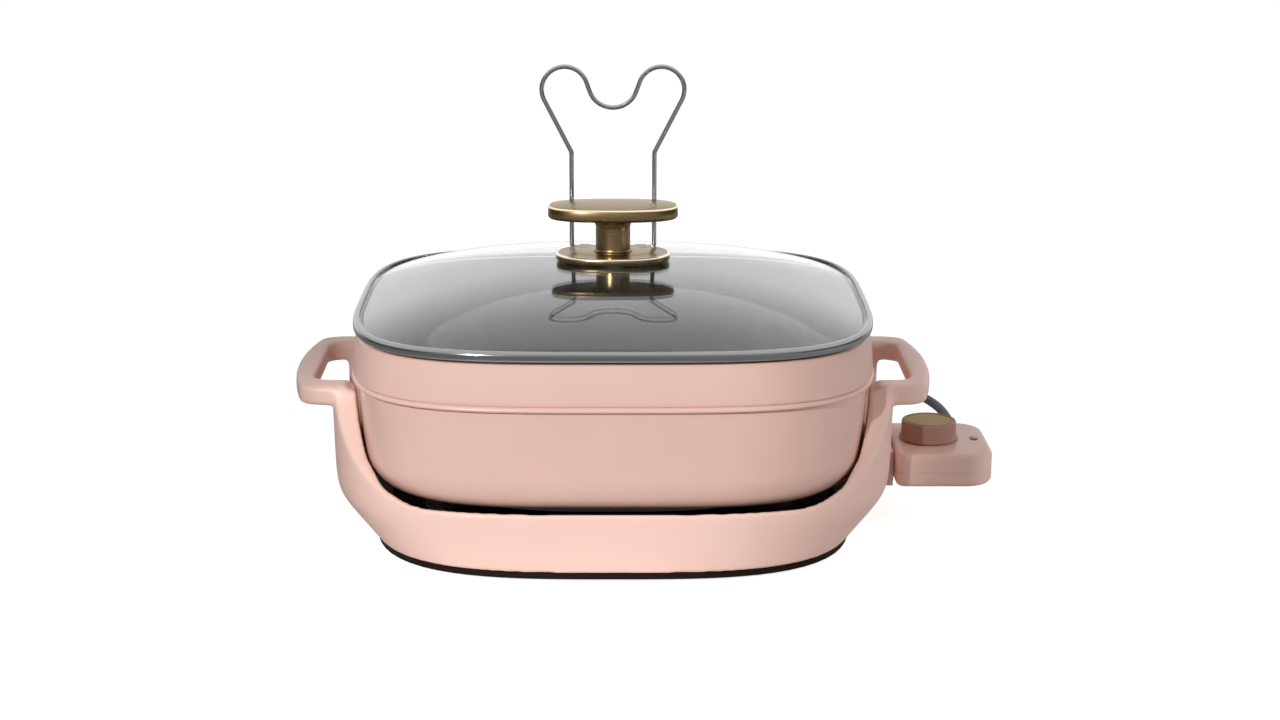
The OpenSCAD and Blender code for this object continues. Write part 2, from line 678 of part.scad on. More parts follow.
// Bores along the probe's line through the nose and the case's near wall
module nose_bores(sleeve, probe) {
    for (y = [-pin_y, pin_y]) translate([nose_x - 1, y, axis_z]) rotate([0, 90, 0])
        cylinder(d = sleeve, h = case_x - nose_x + 10);
    translate([nose_x - 1, 0, axis_z]) rotate([0, 90, 0]) cylinder(d = probe, h = case_x - nose_x + 10);
}

module relief_bore(d) {
    translate([relief_x, case_w / 2 - 8, relief_z]) rotate([-90, 0, 0]) cylinder(d = d, h = 20);
}

module control_lower_shell() color("#DDB3A6") difference() {
    union() {
        difference() {
            translate([0, 0, case_z]) linear_extrude(split_z - case_z) case_outline(0);
            translate([0, 0, case_z + case_wall]) linear_extrude(case_h) case_outline(case_wall);
        }
        at_each(case_posts) translate([0, 0, case_z]) cylinder(d = case_post_d + 3, h = split_z - case_z);
    }
    at_each(case_posts) {
        translate([0, 0, case_z - 1]) cylinder(d = head_d + 0.4, h = head_t + 1.2);
        translate([0, 0, case_z]) cylinder(d = screw_d + 0.2, h = case_h);
    }
    nose_bores(sleeve_d + 0.2, probe_d + 0.2);
    relief_bore(relief_d + 0.2);
}

module control_upper_shell() color("#E7BFB3") difference() {
    union() {
        difference() {
            translate([0, 0, split_z]) linear_extrude(case_top - split_z) case_outline(0);
            translate([0, 0, split_z - 1]) linear_extrude(case_top - split_z - case_wall + 1)
                case_outline(case_wall);
        }
        at_each(case_posts) translate([0, 0, split_z])
            cylinder(d = case_post_d, h = case_top - split_z - 1);
        translate([dial_x, 0, switch_top + gap])
            cylinder(d = shaft_d + 6, h = case_top - switch_top - 2 * gap);
    }
    at_each(case_posts) translate([0, 0, split_z - 1]) cylinder(d = screw_d - 0.4, h = thread_depth + 1);
    translate([dial_x, 0, split_z]) cylinder(d = shaft_d + 2 * pin_play, h = case_h);
    translate([lens_x, 0, case_top - case_wall - 1]) lens_slot(lens_d + 0.2, case_wall + 2);
    nose_bores(sleeve_d + 0.2, probe_d + 0.2);
    relief_bore(relief_d + 0.2);
}

module control_screws() color("#8A8D90") at_each(case_posts)
    translate([0, 0, case_z + head_t + 0.2]) screw(split_z - case_z - head_t + thread_depth - 1);

module control_nose() color("#D9B0A4") difference() {
    translate([nose_x, -nose_w / 2, axis_z - nose_h / 2]) cube([case_x - nose_x, nose_w, nose_h]);
    nose_bores(sleeve_d + 0.2, probe_d + 0.2);
}

module contact_sleeves() color("#B98A4B") for (y = [-pin_y, pin_y])
    translate([sleeve_x, y, axis_z]) rotate([0, 90, 0]) difference() {
        cylinder(d = sleeve_d, h = sleeve_l);
        translate([0, 0, -1]) cylinder(d = sleeve_bore, h = sleeve_l - 2);
    }

module probe() color("#C7CACC") translate([probe_root, 0, axis_z]) rotate([0, -90, 0]) {
    cylinder(d = probe_d, h = probe_root - probe_tip - probe_d / 2);
    translate([0, 0, probe_root - probe_tip - probe_d / 2]) sphere(d = probe_d);
}

module thermostat() color("#4A3A30") difference() {
    translate([probe_root, -pin_y - 5, case_z + case_wall])
        cube([switch_l, 2 * pin_y + 10, switch_top - case_z - case_wall]);
    translate([dial_x, 0, switch_top - 5]) cylinder(d = shaft_d + 2 * pin_play, h = 6);
}

module lens_slot(d, h) {
    span = lens_w - lens_d;
    translate([0, -span / 2, 0]) cylinder(d = d, h = h);
    translate([0, span / 2, 0]) cylinder(d = d, h = h);
    translate([-d / 2, -span / 2, 0]) cube([d, span, h]);
}
module indicator_lens() color("#5B2A22") translate([lens_x, 0, case_top - case_wall - 1])
    lens_slot(lens_d, case_wall + 1);

module indicator_lamp() color("#D9743B") translate([lens_x, 0, case_z + case_wall]) {
    bulb_d = 4;
    bulb_h = 9;
    cylinder(d = bulb_d, h = bulb_h);
    translate([0, 0, bulb_h]) sphere(d = bulb_d);
}

// The dial, turned on a shaft that enters the thermostat
dial_z = case_top + 2 * gap;
disc_d = dial_d - 4.5;
disc_t = 0.8;
module dial_knob() color("#B98F80") difference() {
    r = dial_d / 2;
    translate([dial_x, 0, dial_z]) rotate_extrude($fn = 72) polygon([[0, 0], [r, 0], [r, 2], [r - 0.9, 2.6],
        [r - 1.2, dial_h - 1], [r - 1.8, dial_h], [0, dial_h]]);
    translate([dial_x, 0, dial_z + dial_h - disc_t]) cylinder(d = disc_d + 0.2, h = 2, $fn = 72);
    translate([dial_x, 0, dial_z - 1]) cylinder(d = shaft_d, h = 7);
}
module dial_disc() color("#9A8556") translate([dial_x, 0, dial_z + dial_h - disc_t])
    cylinder(d = disc_d, h = disc_t - 0.1, $fn = 72);
module dial_shaft() color("#B9BDC0") translate([dial_x, 0, switch_top - 4.7])
    cylinder(d = shaft_d, h = dial_z + 6 - switch_top + 4.7);

// The mains cord: out of the strain relief, down behind the pan, and the rest in a coil on the table
lie_z = 3.1;
coil_z = 4.2;
coil_x = 62;
coil_y = 191;
coil_out = 41;
coil_step = 8;
coil_turns = 1.25;
coil_rise = 6.5;
coil_tail = 36;
loop_rings = 24;
cord_route = [[relief_x, 37, relief_z], [relief_x, 49, relief_z], [relief_x, 61, relief_z],
    [217.5, 73, 38.3], [215, 85, 40.6], [210.5, 97, 42.4], [204.5, 108, 43.6], [197.5, 118, 44],
    [189.5, 127, 42.8], [180.5, 135, 39.2], [171, 141.5, 33.6], [161, 146, 26.4], [150, 149, 18.8],
    [138.5, 150.3, 12], [126.5, 150.5, 7], [114, 150.2, 4.2], [101, 150, lie_z], [90, 150, 3.6],
    [79, 150, coil_z], [coil_x + cord_d, coil_y - coil_out, coil_z]];
coil_in = coil_out - coil_step * coil_turns;
coil_down = 360 * coil_turns;
coil_up = coil_down + 180;
coil_end = coil_up + coil_down;

// The coil's path: inward on the table, up in half a turn, then outward on top
function coil_radius(t) = t < coil_down ? coil_out - coil_step * t / 360
    : t < coil_up ? coil_in : coil_in + coil_step * (t - coil_up) / 360;
function coil_height(t) = coil_z + coil_rise * (t < coil_down ? 0 : t > coil_up ? 1
    : (1 - cos(t - coil_down)) / 2);
coil_path = concat(
    [[coil_x + cord_d, coil_y - coil_out, coil_z]],
    [for (t = [0 : 360 / loop_rings : coil_end])
        [coil_x - coil_radius(t) * sin(t), coil_y - coil_radius(t) * cos(t), coil_height(t)]],
    [for (x = [cord_d, coil_tail]) [coil_x - x, coil_y - coil_out, coil_z + coil_rise]]);
coil_gaps = [for (i = [0 : len(coil_path) - 1]) for (j = [i + 6 : 1 : len(coil_path) - 1])
    norm(coil_path[i] - coil_path[j]) - cord_d];
echo(least_coil_gap = min(coil_gaps));  // cord_coil

module cord_run() color("#5D666B") tube(cord_route, cord_d / 2, 10);
module cord_coil() color("#5D666B") tube(coil_path, cord_d / 2, 6);

module cord_strain_relief() color("#4E575C") translate([relief_x, case_w / 2, relief_z]) rotate([-90, 0, 0])
    difference() {
        rotate_extrude() polygon([[0, -relief_inner], [relief_d / 2, -relief_inner], [relief_d / 2, 2],
            [relief_d / 2 - 1, 4], [cord_d / 2 + 1.2, relief_l], [0, relief_l]]);
        translate([0, 0, -relief_inner - 1]) cylinder(d = cord_d + 1.6, h = relief_l + relief_inner + 2);
    }

module cord_tie() color("#2B2B2D") {
    wall = 0.8;
    side = coil_in - cord_d / 2 - 0.6;
    across = coil_out - coil_step / 2 + cord_d / 2 + 0.8 - side;
    tall = coil_z + coil_rise + cord_d / 2 + 0.4 - wall;
    translate([coil_x - 4, coil_y + side - wall, 0]) difference() {
        cube([8, across + 2 * wall, tall + 2 * wall]);
        translate([-1, wall, wall]) cube([10, across, tall]);
    }
}

plug_l = 38;
plug_z = coil_z + coil_rise;
blade_l = 17;
blade_t = 1.5;
blade_w = 6.3;
blade_y = 6.35;
module plug_body() color("#4E575C")
    translate([coil_x - coil_tail, coil_y - coil_out, plug_z]) rotate([0, -90, 0]) rotate_extrude()
        polygon([[0, 0], [cord_d / 2 + 1.5, 0], [cord_d / 2 + 2, 12], [plug_z - 1.5, 18],
            [plug_z - 0.1, 20], [plug_z - 0.1, plug_l - 1], [plug_z - 1.1, plug_l], [0, plug_l]]);

module plug_blades() color("#C8B27A")
    translate([coil_x - coil_tail - plug_l - blade_l, coil_y - coil_out, plug_z]) for (s = [-1, 1])
        translate([0, s * blade_y - blade_t / 2, -blade_w / 2]) difference() {
            cube([blade_l, blade_t, blade_w]);
            translate([4, -1, blade_w / 2]) rotate([-90, 0, 0]) cylinder(d = 3, h = 4);
        }

cradle();
handle_left();
handle_right();
handle_screws();
bottom_plate();
foot_ring();
base_screws();
pan_screws();
heat_shield();
insulating_washers();
pan();
heater_casting();
heating_element();
terminal_pins();
terminal_block();
socket_shroud();
lid_rim();
lid_glass();
knob_gaskets();
knob_base();
knob_stem();
knob_cap();
knob_bolt();
wire_stand();
control_lower_shell();
control_upper_shell();
control_screws();
control_nose();
contact_sleeves();
probe();
thermostat();
indicator_lens();
indicator_lamp();
dial_knob();
dial_disc();
dial_shaft();
cord_strain_relief();
cord_run();
cord_coil();
cord_tie();
plug_body();
plug_blades();
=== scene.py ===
"""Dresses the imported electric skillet: fine shapes, finishes, mains cord, studio and camera."""

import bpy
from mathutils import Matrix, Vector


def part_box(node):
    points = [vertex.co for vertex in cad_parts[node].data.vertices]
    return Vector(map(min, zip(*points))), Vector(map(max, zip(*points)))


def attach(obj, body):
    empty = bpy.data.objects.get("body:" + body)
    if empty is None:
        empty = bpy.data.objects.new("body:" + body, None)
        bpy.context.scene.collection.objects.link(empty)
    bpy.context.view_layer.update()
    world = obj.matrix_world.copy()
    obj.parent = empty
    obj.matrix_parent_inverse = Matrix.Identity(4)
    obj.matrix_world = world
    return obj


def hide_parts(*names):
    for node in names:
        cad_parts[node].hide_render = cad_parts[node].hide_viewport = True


bl_info = {
    "name": "Electric Skillet",
    "version": (1, 0, 0),
    "blender": (4, 5, 0),
    "location": "View3D > Sidebar > Skillet",
    "description": "Builds the visible pieces and finishes of an electric skillet around its fixed frame",
    "category": "Object",
}

import math

import bmesh
import bpy
import numpy as np
from bpy.props import FloatProperty, FloatVectorProperty, IntProperty, PointerProperty
from mathutils import Vector

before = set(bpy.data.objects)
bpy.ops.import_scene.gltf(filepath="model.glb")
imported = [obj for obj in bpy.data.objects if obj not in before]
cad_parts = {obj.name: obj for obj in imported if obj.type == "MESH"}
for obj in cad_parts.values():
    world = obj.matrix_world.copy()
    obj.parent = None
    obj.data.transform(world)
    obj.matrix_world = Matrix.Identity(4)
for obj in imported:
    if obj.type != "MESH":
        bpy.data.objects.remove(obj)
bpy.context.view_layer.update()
MM = 0.001
BOWL_FLARE = 3 * MM  # how far the bowl's wall leans out
ARM_EASE = 0.04  # softness of an arm's rise out of the skirt
KNOB_SIDES = 160  # points round the knob's plates
PIVOT_END = 13.3 * MM  # where the wire's pivots stop inside the knob base's ears

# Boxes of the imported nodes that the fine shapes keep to
RIM_LOW, RIM_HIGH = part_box("lid_rim")
PAN_LOW, PAN_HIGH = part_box("pan")
CRADLE_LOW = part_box("cradle")[0]
HANDLE_LOW, HANDLE_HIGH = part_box("handle_right")
PLATE_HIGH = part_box("bottom_plate")[1]
GLASS_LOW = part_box("lid_glass")[0]
CAP_LOW, CAP_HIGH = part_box("knob_cap")
STEM_LOW, STEM_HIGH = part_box("knob_stem")
LOWER_LOW, LOWER_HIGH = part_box("control_lower_shell")
UPPER_LOW, UPPER_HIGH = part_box("control_upper_shell")
DIAL_LOW, DIAL_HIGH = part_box("dial_knob")
RELIEF_LOW, RELIEF_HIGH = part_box("cord_strain_relief")
PLUG_LOW, PLUG_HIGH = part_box("plug_body")


def middle_of(low, high):
    return tuple((a + b) / 2 for a, b in zip(low, high))


# Settings


def size(label, default):
    """A length that a user may change, in metres."""
    return FloatProperty(name=label, default=default, unit="LENGTH", precision=5)


def number(label, default):
    return FloatProperty(name=label, default=default)


def linear(red, green, blue):
    """Scene-linear colour of an sRGB triple from 0 to 255."""
    shares = (channel / 255 for channel in (red, green, blue))
    return tuple(c / 12.92 if c <= 0.04045 else ((c + 0.055) / 1.055) ** 2.4 for c in shares)


def colour(label, rgb):
    return FloatVectorProperty(name=label, default=linear(*rgb), subtype="COLOR", size=3, min=0, max=1)


class PanShape(bpy.types.PropertyGroup):
    """Sizes of the cast pan and the outline that it shares with its lid."""
    power: number("Power of the superellipse outline; 2 is an ellipse", 3.7)
    half_x: size("Half width at the collar", RIM_HIGH.x)
    half_y: size("Half depth at the collar", RIM_HIGH.y)
    bottom: size("Height of the underside", PAN_LOW.z)
    top: size("Height of the rim", PAN_HIGH.z)
    collar: size("Height of the collar band", 25.5 * MM)
    bead: size("Height of the raised bead under the collar", 3.5 * MM)
    bead_out: size("How far the bead stands out", PAN_HIGH.x - RIM_HIGH.x)
    bowl_in: size("How far the bowl lies inside the collar", 5 * MM)
    bowl_round: size("Radius of the bowl's lower edge", 24.5 * MM)
    wall: size("Thickness of the wall", 4 * MM)
    lip: size("Height of the uncoated lip under the lid", 1.3 * MM)
    lip_in: size("How far the lip lies inside the collar", 4 * MM)


class CradleShape(bpy.types.PropertyGroup):
    """Sizes of the moulded skirt, arms and handles."""
    power: number("Power of the base outline", 3.2)
    half_x: size("Half width at the table", PLATE_HIGH.x + 0.5 * MM)
    half_y: size("Half depth at the table", PLATE_HIGH.y + 0.5 * MM)
    arm_x: size("Half width across the arms", 170 * MM)
    bottom: size("Height of the skirt's lower edge", CRADLE_LOW.z)
    skirt: size("Height of the skirt", 35.2 * MM)
    slope: number("How far the sides slope out of the base, for each unit of height", 0.9)
    lean: size("How far an arm leans out between its foot and its top", 2 * MM)
    bend: size("Softness of the bend between slope and arm", 2.2 * MM)
    taper: number("How the arms narrow towards the handles", 1.4)
    arm_foot: size("Skirt left bare beside an arm's foot", 12 * MM)
    fade: size("Depth over which an arm's inner face runs into the skirt's", 30 * MM)
    wall: size("Thickness of the skirt", 3.5 * MM)
    arm_wall: size("Least thickness of an arm", 6 * MM)
    bowl_gap: size("Gap between an arm and the bowl", 2 * MM)
    reach: size("How far a handle reaches from the middle", HANDLE_HIGH.x)
    handle_half: size("Half length of a handle", HANDLE_HIGH.y)
    handle_top: size("Height of a handle's top", HANDLE_HIGH.z)
    handle_low: size("Height of a handle's underside", HANDLE_LOW.z)
    grip: size("Width of the grip bar", 14.5 * MM)
    post: size("Width of a handle's posts", 19 * MM)
    corner: size("Radius of a handle's outer corners", 22 * MM)
    bow: size("Radius of the grip's bowed outer edge", 230 * MM)
    inner_corner: size("Radius of the finger opening's corners", 10 * MM)
    finger_drop: size("Depth of the finger cut below the handle's top", 30 * MM)
    round: size("Radius along a handle's edges", 3.2 * MM)
    voxel: size("Grid that the moulding's skin is drawn on", 1.3 * MM)


class LidShape(bpy.types.PropertyGroup):
    """Sizes of the glass lid, its rim and its knob."""
    rim_width: size("Width of the steel rim seen from above", 3.6 * MM)
    glass: size("Thickness of the glass", 3.5 * MM)
    glass_inset: size("How far the glass edge lies inside the rim", 1.8 * MM)
    dome: size("Rise of the dome above its flange", 24 * MM)
    dome_power: number("How flat the dome's top is", 2.4)
    hole: size("Radius of the hole for the knob's screw", 5 * MM)
    knob_half_x: size("Half width of the knob's base plate", 35 * MM)
    knob_half_y: size("Half depth of the knob's base plate", 23 * MM)
    knob_t: size("Thickness of the knob's base plate", 4.5 * MM)
    stem: size("Radius of the knob's stem", 10.5 * MM)


class WireShape(bpy.types.PropertyGroup):
    """Sizes of the folding wire stand."""
    diameter: size("Diameter of the wire", 2.8 * MM)
    pin: size("Diameter of the wire's pivot ends", 2.5 * MM)
    leg_x: size("Half distance between the legs", 25.4 * MM)
    leg: size("Height of the legs up to their outward bend", 58 * MM)
    lobe_x: size("Half distance between the lobes", 29.5 * MM)
    lobe_z: size("Height of the lobes' middle above the pivot", 98 * MM)
    lobe: size("Radius of a lobe", 14 * MM)
    dip: size("Radius of the dip between the lobes", 15.1 * MM)
    slant: number("Degrees by which the wire slants between a lobe and the dip", 20)
    foot_bend: size("Radius of the bend at a leg's foot", 2.4 * MM)
    knee: size("Radius of the outward bend", 6 * MM)


class ControlShape(bpy.types.PropertyGroup):
    """Sizes of the plug-in heat control and its dial."""
    corner: size("Radius of the far corners seen from above", 17 * MM)
    near_corner: size("Radius of the corners beside the pan", 6 * MM)
    edge: size("Rounding along the case's top and bottom", 3.4 * MM)
    wall: size("Thickness of the case's mouldings", 2.2 * MM)
    flange: size("Height of the flange at the dial's foot", 1.9 * MM)
    disc: size("Width of the dial's edge around its disc", 2.25 * MM)


class CordShape(bpy.types.PropertyGroup):
    """The mains cord: its jacket and the coil that its spare length lies in."""
    diameter: size("Diameter of the cord", 6 * MM)
    length: size("Length of the cord from the control to the plug", 0.942)
    coil_x: size("Middle of the coil, across", 62 * MM)
    coil_y: size("Middle of the coil, front to back", 191 * MM)
    coil_z: size("Height of the coil's lower layer", 4.2 * MM)
    coil_out: size("Radius of the coil's outer turn", 41 * MM)
    coil_step: size("Distance between neighbouring turns", 8 * MM)
    coil_rise: size("Distance between the two layers", 6.5 * MM)
    tail: size("Straight length between the coil and the plug", 36 * MM)
    turns: number("Turns in each layer", 1.25)
    per_turn: IntProperty(name="Points in each turn", default=24)


class FinishColours(bpy.types.PropertyGroup):
    """Colours of the finishes."""
    pink: colour("Satin pink plastic", (241, 204, 191))
    enamel: colour("Pink enamel of the pan", (226, 188, 175))
    nonstick: colour("Dark coating inside the pan", (74, 75, 77))
    brass: colour("Satin gold plating", (152, 129, 92))
    steel: colour("Polished steel", (176, 179, 178))
    dark: colour("Plate under the base", (27, 12, 6))
    jacket: colour("Slate grey cord", (92, 101, 108))
    dial: colour("Side of the dial", (170, 126, 112))


class SkilletSettings(bpy.types.PropertyGroup):
    """All sizes and colours of the skillet."""
    pan: PointerProperty(type=PanShape)
    cradle: PointerProperty(type=CradleShape)
    lid: PointerProperty(type=LidShape)
    wire: PointerProperty(type=WireShape)
    control: PointerProperty(type=ControlShape)
    cord: PointerProperty(type=CordShape)
    colours: PointerProperty(type=FinishColours)


def settings():
    return bpy.context.scene.skillet


# Finishes


class Field:
    """A shader socket that takes part in Python arithmetic."""

    def __init__(self, paint, socket):
        self.paint = paint
        self.socket = socket

    def maths(self, operation, first, second):
        return self.paint.node("ShaderNodeMath", {"operation": operation}, {0: first, 1: second})

    def __add__(self, other):
        return self.maths("ADD", self, other)

    def __radd__(self, other):
        return self.maths("ADD", other, self)

    def __sub__(self, other):
        return self.maths("SUBTRACT", self, other)

    def __rsub__(self, other):
        return self.maths("SUBTRACT", other, self)

    def __mul__(self, other):
        return self.maths("MULTIPLY", self, other)

    def __rmul__(self, other):
        return self.maths("MULTIPLY", other, self)


class Paint:
    """One node tree under construction: a material's, or the world's."""

    def __init__(self, tree):
        self.tree = tree

    def node(self, kind, options=None, inputs=None, out=0):
        """Adds a node, sets its options, fills or links its inputs and returns one of its outputs."""
        made = self.tree.nodes.new(kind)
        for key, value in (options or {}).items():
            setattr(made, key, value)
        self.fill(made, inputs or {})
        return Field(self, made.outputs[out])

    def fill(self, target, inputs):
        """Fills or links a node's inputs."""
        for key, value in inputs.items():
            self.feed(target.inputs[key], value)

    def feed(self, socket, value):
        if isinstance(value, Field):
            self.tree.links.new(value.socket, socket)
        else:
            socket.default_value = value

    def noise(self, scale, detail=2.0, stretch=(1, 1, 1)):
        """Noise from 0 to 1 on the piece's own coordinates, with scale in features to the metre."""
        place = self.node("ShaderNodeTexCoord", out="Object")
        place = self.node("ShaderNodeMapping", {}, {"Vector": place, "Scale": stretch})
        return self.node("ShaderNodeTexNoise", {}, {"Vector": place, "Scale": scale, "Detail": detail})

    def steps(self, value, low, high):
        """0 below low, 1 above high, and a straight run between them."""
        return self.node("ShaderNodeMapRange", {"clamp": True},
                         {"Value": value, "From Min": low, "From Max": high})

    def mix(self, factor, first, second):
        return self.node("ShaderNodeMix", {"data_type": "RGBA"}, {0: factor, 6: first, 7: second}, out=2)

    def bump(self, height, strength, distance):
        return self.node("ShaderNodeBump", {}, {"Height": height, "Strength": strength, "Distance": distance})


def shade(rgb, factor):
    """A colour made lighter or darker, with full alpha."""
    return (*(min(1.0, channel * factor) for channel in rgb), 1.0)


def finish(name):
    """A new material, with its paint and its main shader."""
    material = bpy.data.materials.new(name)
    material.use_nodes = True
    return material, Paint(material.node_tree), material.node_tree.nodes["Principled BSDF"]


def moulded(name, rgb, rough, grain=0.06, coat=0.0, gloss=0.4):
    """Satin plastic: faint mottling, and the fine grain of a sparked mould."""
    material, paint, shader = finish(name)
    mottle = paint.noise(28, 3)
    paint.fill(shader, {
        "Base Color": paint.mix(mottle, shade(rgb, 0.97), shade(rgb, 1.03)),
        "Roughness": rough - 0.04 + 0.08 * mottle,
        "Specular IOR Level": gloss,
        "Coat Weight": coat,
        "Coat Roughness": 0.25,
        "Normal": paint.bump(paint.noise(2600, 1), grain, 0.1 * MM)})
    return material


def brushed(name, rgb, rough, stretch=(30, 30, 1), grain=0.05):
    """Metal with drawn-out scratches and a slightly uneven polish."""
    material, paint, shader = finish(name)
    lines = paint.noise(120, 3, stretch)
    cloud = paint.noise(22, 2)
    paint.fill(shader, {
        "Metallic": 1.0,
        "Base Color": paint.mix(lines, shade(rgb, 0.94), shade(rgb, 1.05)),
        "Roughness": rough - 0.04 + 0.05 * lines + 0.04 * cloud,
        "Normal": paint.bump(lines, grain, 0.05 * MM)})
    return material


def speckled(name, rgb, fleck, rough):
    """Dark nonstick coating with fine pale flecks."""
    material, paint, shader = finish(name)
    flecks = paint.steps(paint.noise(1800, 1), 0.66, 0.74)
    cloud = paint.noise(35, 2)
    body = paint.mix(cloud, shade(rgb, 0.9), shade(rgb, 1.1))
    paint.fill(shader, {
        "Base Color": paint.mix(flecks * 0.5, body, (*fleck, 1.0)),
        "Roughness": rough + 0.1 * cloud,
        "Specular IOR Level": 0.15,
        "Normal": paint.bump(flecks, 0.05, 0.05 * MM)})
    return material


def clear_glass(name):
    """Clear tempered glass with a trace of wiping marks."""
    material, paint, shader = finish(name)
    paint.fill(shader, {
        "Transmission Weight": 1.0,
        "Base Color": (0.80, 0.825, 0.835, 1.0),
        "IOR": 1.4,
        "Roughness": 0.02 * paint.noise(30, 3, (1, 3, 1))})
    return material


def cast_metal(name, rgb, rough):
    """Grainy cast or sintered metal."""
    material, paint, shader = finish(name)
    grain = paint.noise(900, 3)
    paint.fill(shader, {
        "Metallic": 1.0,
        "Base Color": paint.mix(grain, shade(rgb, 0.85), shade(rgb, 1.1)),
        "Roughness": rough + 0.12 * grain,
        "Normal": paint.bump(grain, 0.2, 0.1 * MM)})
    return material


def glow_lens(name, rgb):
    """Tinted clear plastic with fine ridges."""
    material, paint, shader = finish(name)
    ridges = paint.noise(400, 1, (1, 8, 1))
    paint.fill(shader, {
        "Transmission Weight": 0.35,
        "Base Color": paint.mix(ridges, shade(rgb, 0.8), shade(rgb, 1.2)),
        "Roughness": 0.12 + 0.08 * ridges})
    return material


FINISHES = {}


def mix_finishes():
    """Makes every finish once, under the names that the pieces ask for."""
    tint = settings().colours
    FINISHES.update(
        pink=moulded("pink_moulding", tint.pink, 0.40),
        enamel=moulded("pan_enamel", tint.enamel, 0.33, grain=0.02, coat=0.25),
        nonstick=speckled("nonstick", tint.nonstick, (0.20, 0.20, 0.21), 0.62),
        glass=clear_glass("clear_glass"),
        rim=brushed("polished_rim", shade(tint.steel, 0.8)[:3], 0.1, grain=0.02),
        wire=brushed("bright_wire", shade(tint.steel, 1.05)[:3], 0.2, (60, 60, 4), 0.02),
        brass=brushed("satin_brass", tint.brass, 0.27, (2, 40, 40)),
        # A lighter brass for the knob's chamfer and lip: a painted highlight, not a different metal
        bright=brushed("highlight_painted_brass", linear(255, 242, 214), 0.2, (2, 40, 40)),
        dark=moulded("dark_plate", tint.dark, 0.6, gloss=0.15),
        dial=moulded("dial_side", tint.dial, 0.42),
        disc=brushed("dial_disc_gold", linear(130, 98, 40), 0.42, (2, 60, 60)),
        rubber=moulded("black_rubber", linear(24, 16, 13), 0.75, grain=0.2, gloss=0.15),
        silicone=moulded("pale_silicone", linear(150, 140, 122), 0.5),
        zinc=brushed("zinc_plate", linear(178, 180, 182), 0.32),
        sheet=brushed("shield_sheet", linear(190, 192, 193), 0.3, (1, 60, 1)),
        ceramic=moulded("glazed_ceramic", linear(232, 228, 214), 0.3),
        casting=cast_metal("die_casting", linear(170, 173, 176), 0.45),
        sheath=cast_metal("heater_sheath", linear(92, 86, 80), 0.5),
        contact=brushed("contact_brass", linear(196, 176, 130), 0.25),
        lens=glow_lens("dark_lens", linear(92, 36, 28)),
        lamp=glow_lens("amber_lamp", linear(214, 120, 58)),
        switch=moulded("switch_block", linear(74, 60, 52), 0.55),
        jacket=moulded("cord_jacket", tint.jacket, 0.5, grain=0.15),
        plug=moulded("plug_rubber", shade(tint.jacket, 0.85)[:3], 0.48, grain=0.12),
    )


# Shapes in common


def superellipse(half_x, half_y, power, count=288):
    """Points round a superellipse, evenly turned about its middle."""
    turn = np.arange(count) * math.tau / count
    across, along = np.cos(turn), np.sin(turn)
    reach = (np.abs(across / half_x) ** power + np.abs(along / half_y) ** power) ** (-1 / power)
    return np.stack([reach * across, reach * along], axis=1)


def level(flat, z):
    """A flat outline lifted to a height."""
    return np.column_stack([flat, np.full(len(flat), z)])


def circle(radius, count=64):
    return superellipse(radius, radius, 2, count)


def arc(radius, start, end, steps):
    """Offsets along an arc, with angles in degrees."""
    turn = np.radians(np.linspace(start, end, steps + 1))
    return np.stack([radius * np.cos(turn), radius * np.sin(turn)], axis=1)


def rounded(half_x, half_y, radius, steps):
    """A rectangle about its middle, with round corners."""
    corners = enumerate(((1, 1), (-1, 1), (-1, -1), (1, -1)))
    in_x, in_y = half_x - radius, half_y - radius
    return np.concatenate([arc(radius, 90 * k, 90 * k + 90, steps) + (sx * in_x, sy * in_y)
                           for k, (sx, sy) in corners])


def about(radius, height, *pairs):
    """Points of a profile, as offsets in millimetres from a radius and a height."""
    return [(radius + out * MM, height + up * MM) for out, up in pairs]


def skin(rings, loop=False):
    """A skin through rings of equally many points, closed at its ends or into a loop: points and faces."""
    count = len(rings[0])
    points = np.concatenate(rings)
    index = np.arange(count)
    after = (index + 1) % count
    faces = []
    for k in range(len(rings) if loop else len(rings) - 1):
        low, high = k * count, (k + 1) % len(rings) * count
        faces += np.stack([low + index, low + after, high + after, high + index], axis=1).tolist()
    if not loop:
        faces.append(index[::-1].tolist())
        faces.append((index + (len(rings) - 1) * count).tolist())
    return points, faces


def mirrored(shape):
    """A skin mirrored in X, with its faces turned the right way out again."""
    points, faces = shape
    return points * (-1, 1, 1), [face[::-1] for face in faces]


def add_object(name, mesh):
    made = bpy.data.objects.new(name, mesh)
    bpy.context.scene.collection.objects.link(made)
    return made


def to_mesh(name, shape):
    points, faces = shape
    mesh = bpy.data.meshes.new(name)
    mesh.from_pydata(points.tolist(), [], faces)
    mesh.update()
    return mesh


def baked(source, name):
    """The evaluated mesh of an object with modifiers, as a plain object; the source is removed."""
    bpy.context.view_layer.update()
    evaluated = source.evaluated_get(bpy.context.evaluated_depsgraph_get())
    mesh = bpy.data.meshes.new_from_object(evaluated)
    mesh.name = name
    bpy.data.objects.remove(source)
    return mesh


def carved(shape, name, *cutters):
    """A skin with other skins cut out of it."""
    block = add_object(name + "_block", to_mesh(name, shape))
    tools = [add_object(name + "_cutter", to_mesh(name + "_cutter", tool)) for tool in cutters]
    for tool in tools:
        cut = block.modifiers.new("Cut", "BOOLEAN")
        cut.operation = "DIFFERENCE"
        cut.solver = "EXACT"
        cut.object = tool
    mesh = baked(block, name)
    for tool in tools:
        bpy.data.objects.remove(tool)
    return mesh


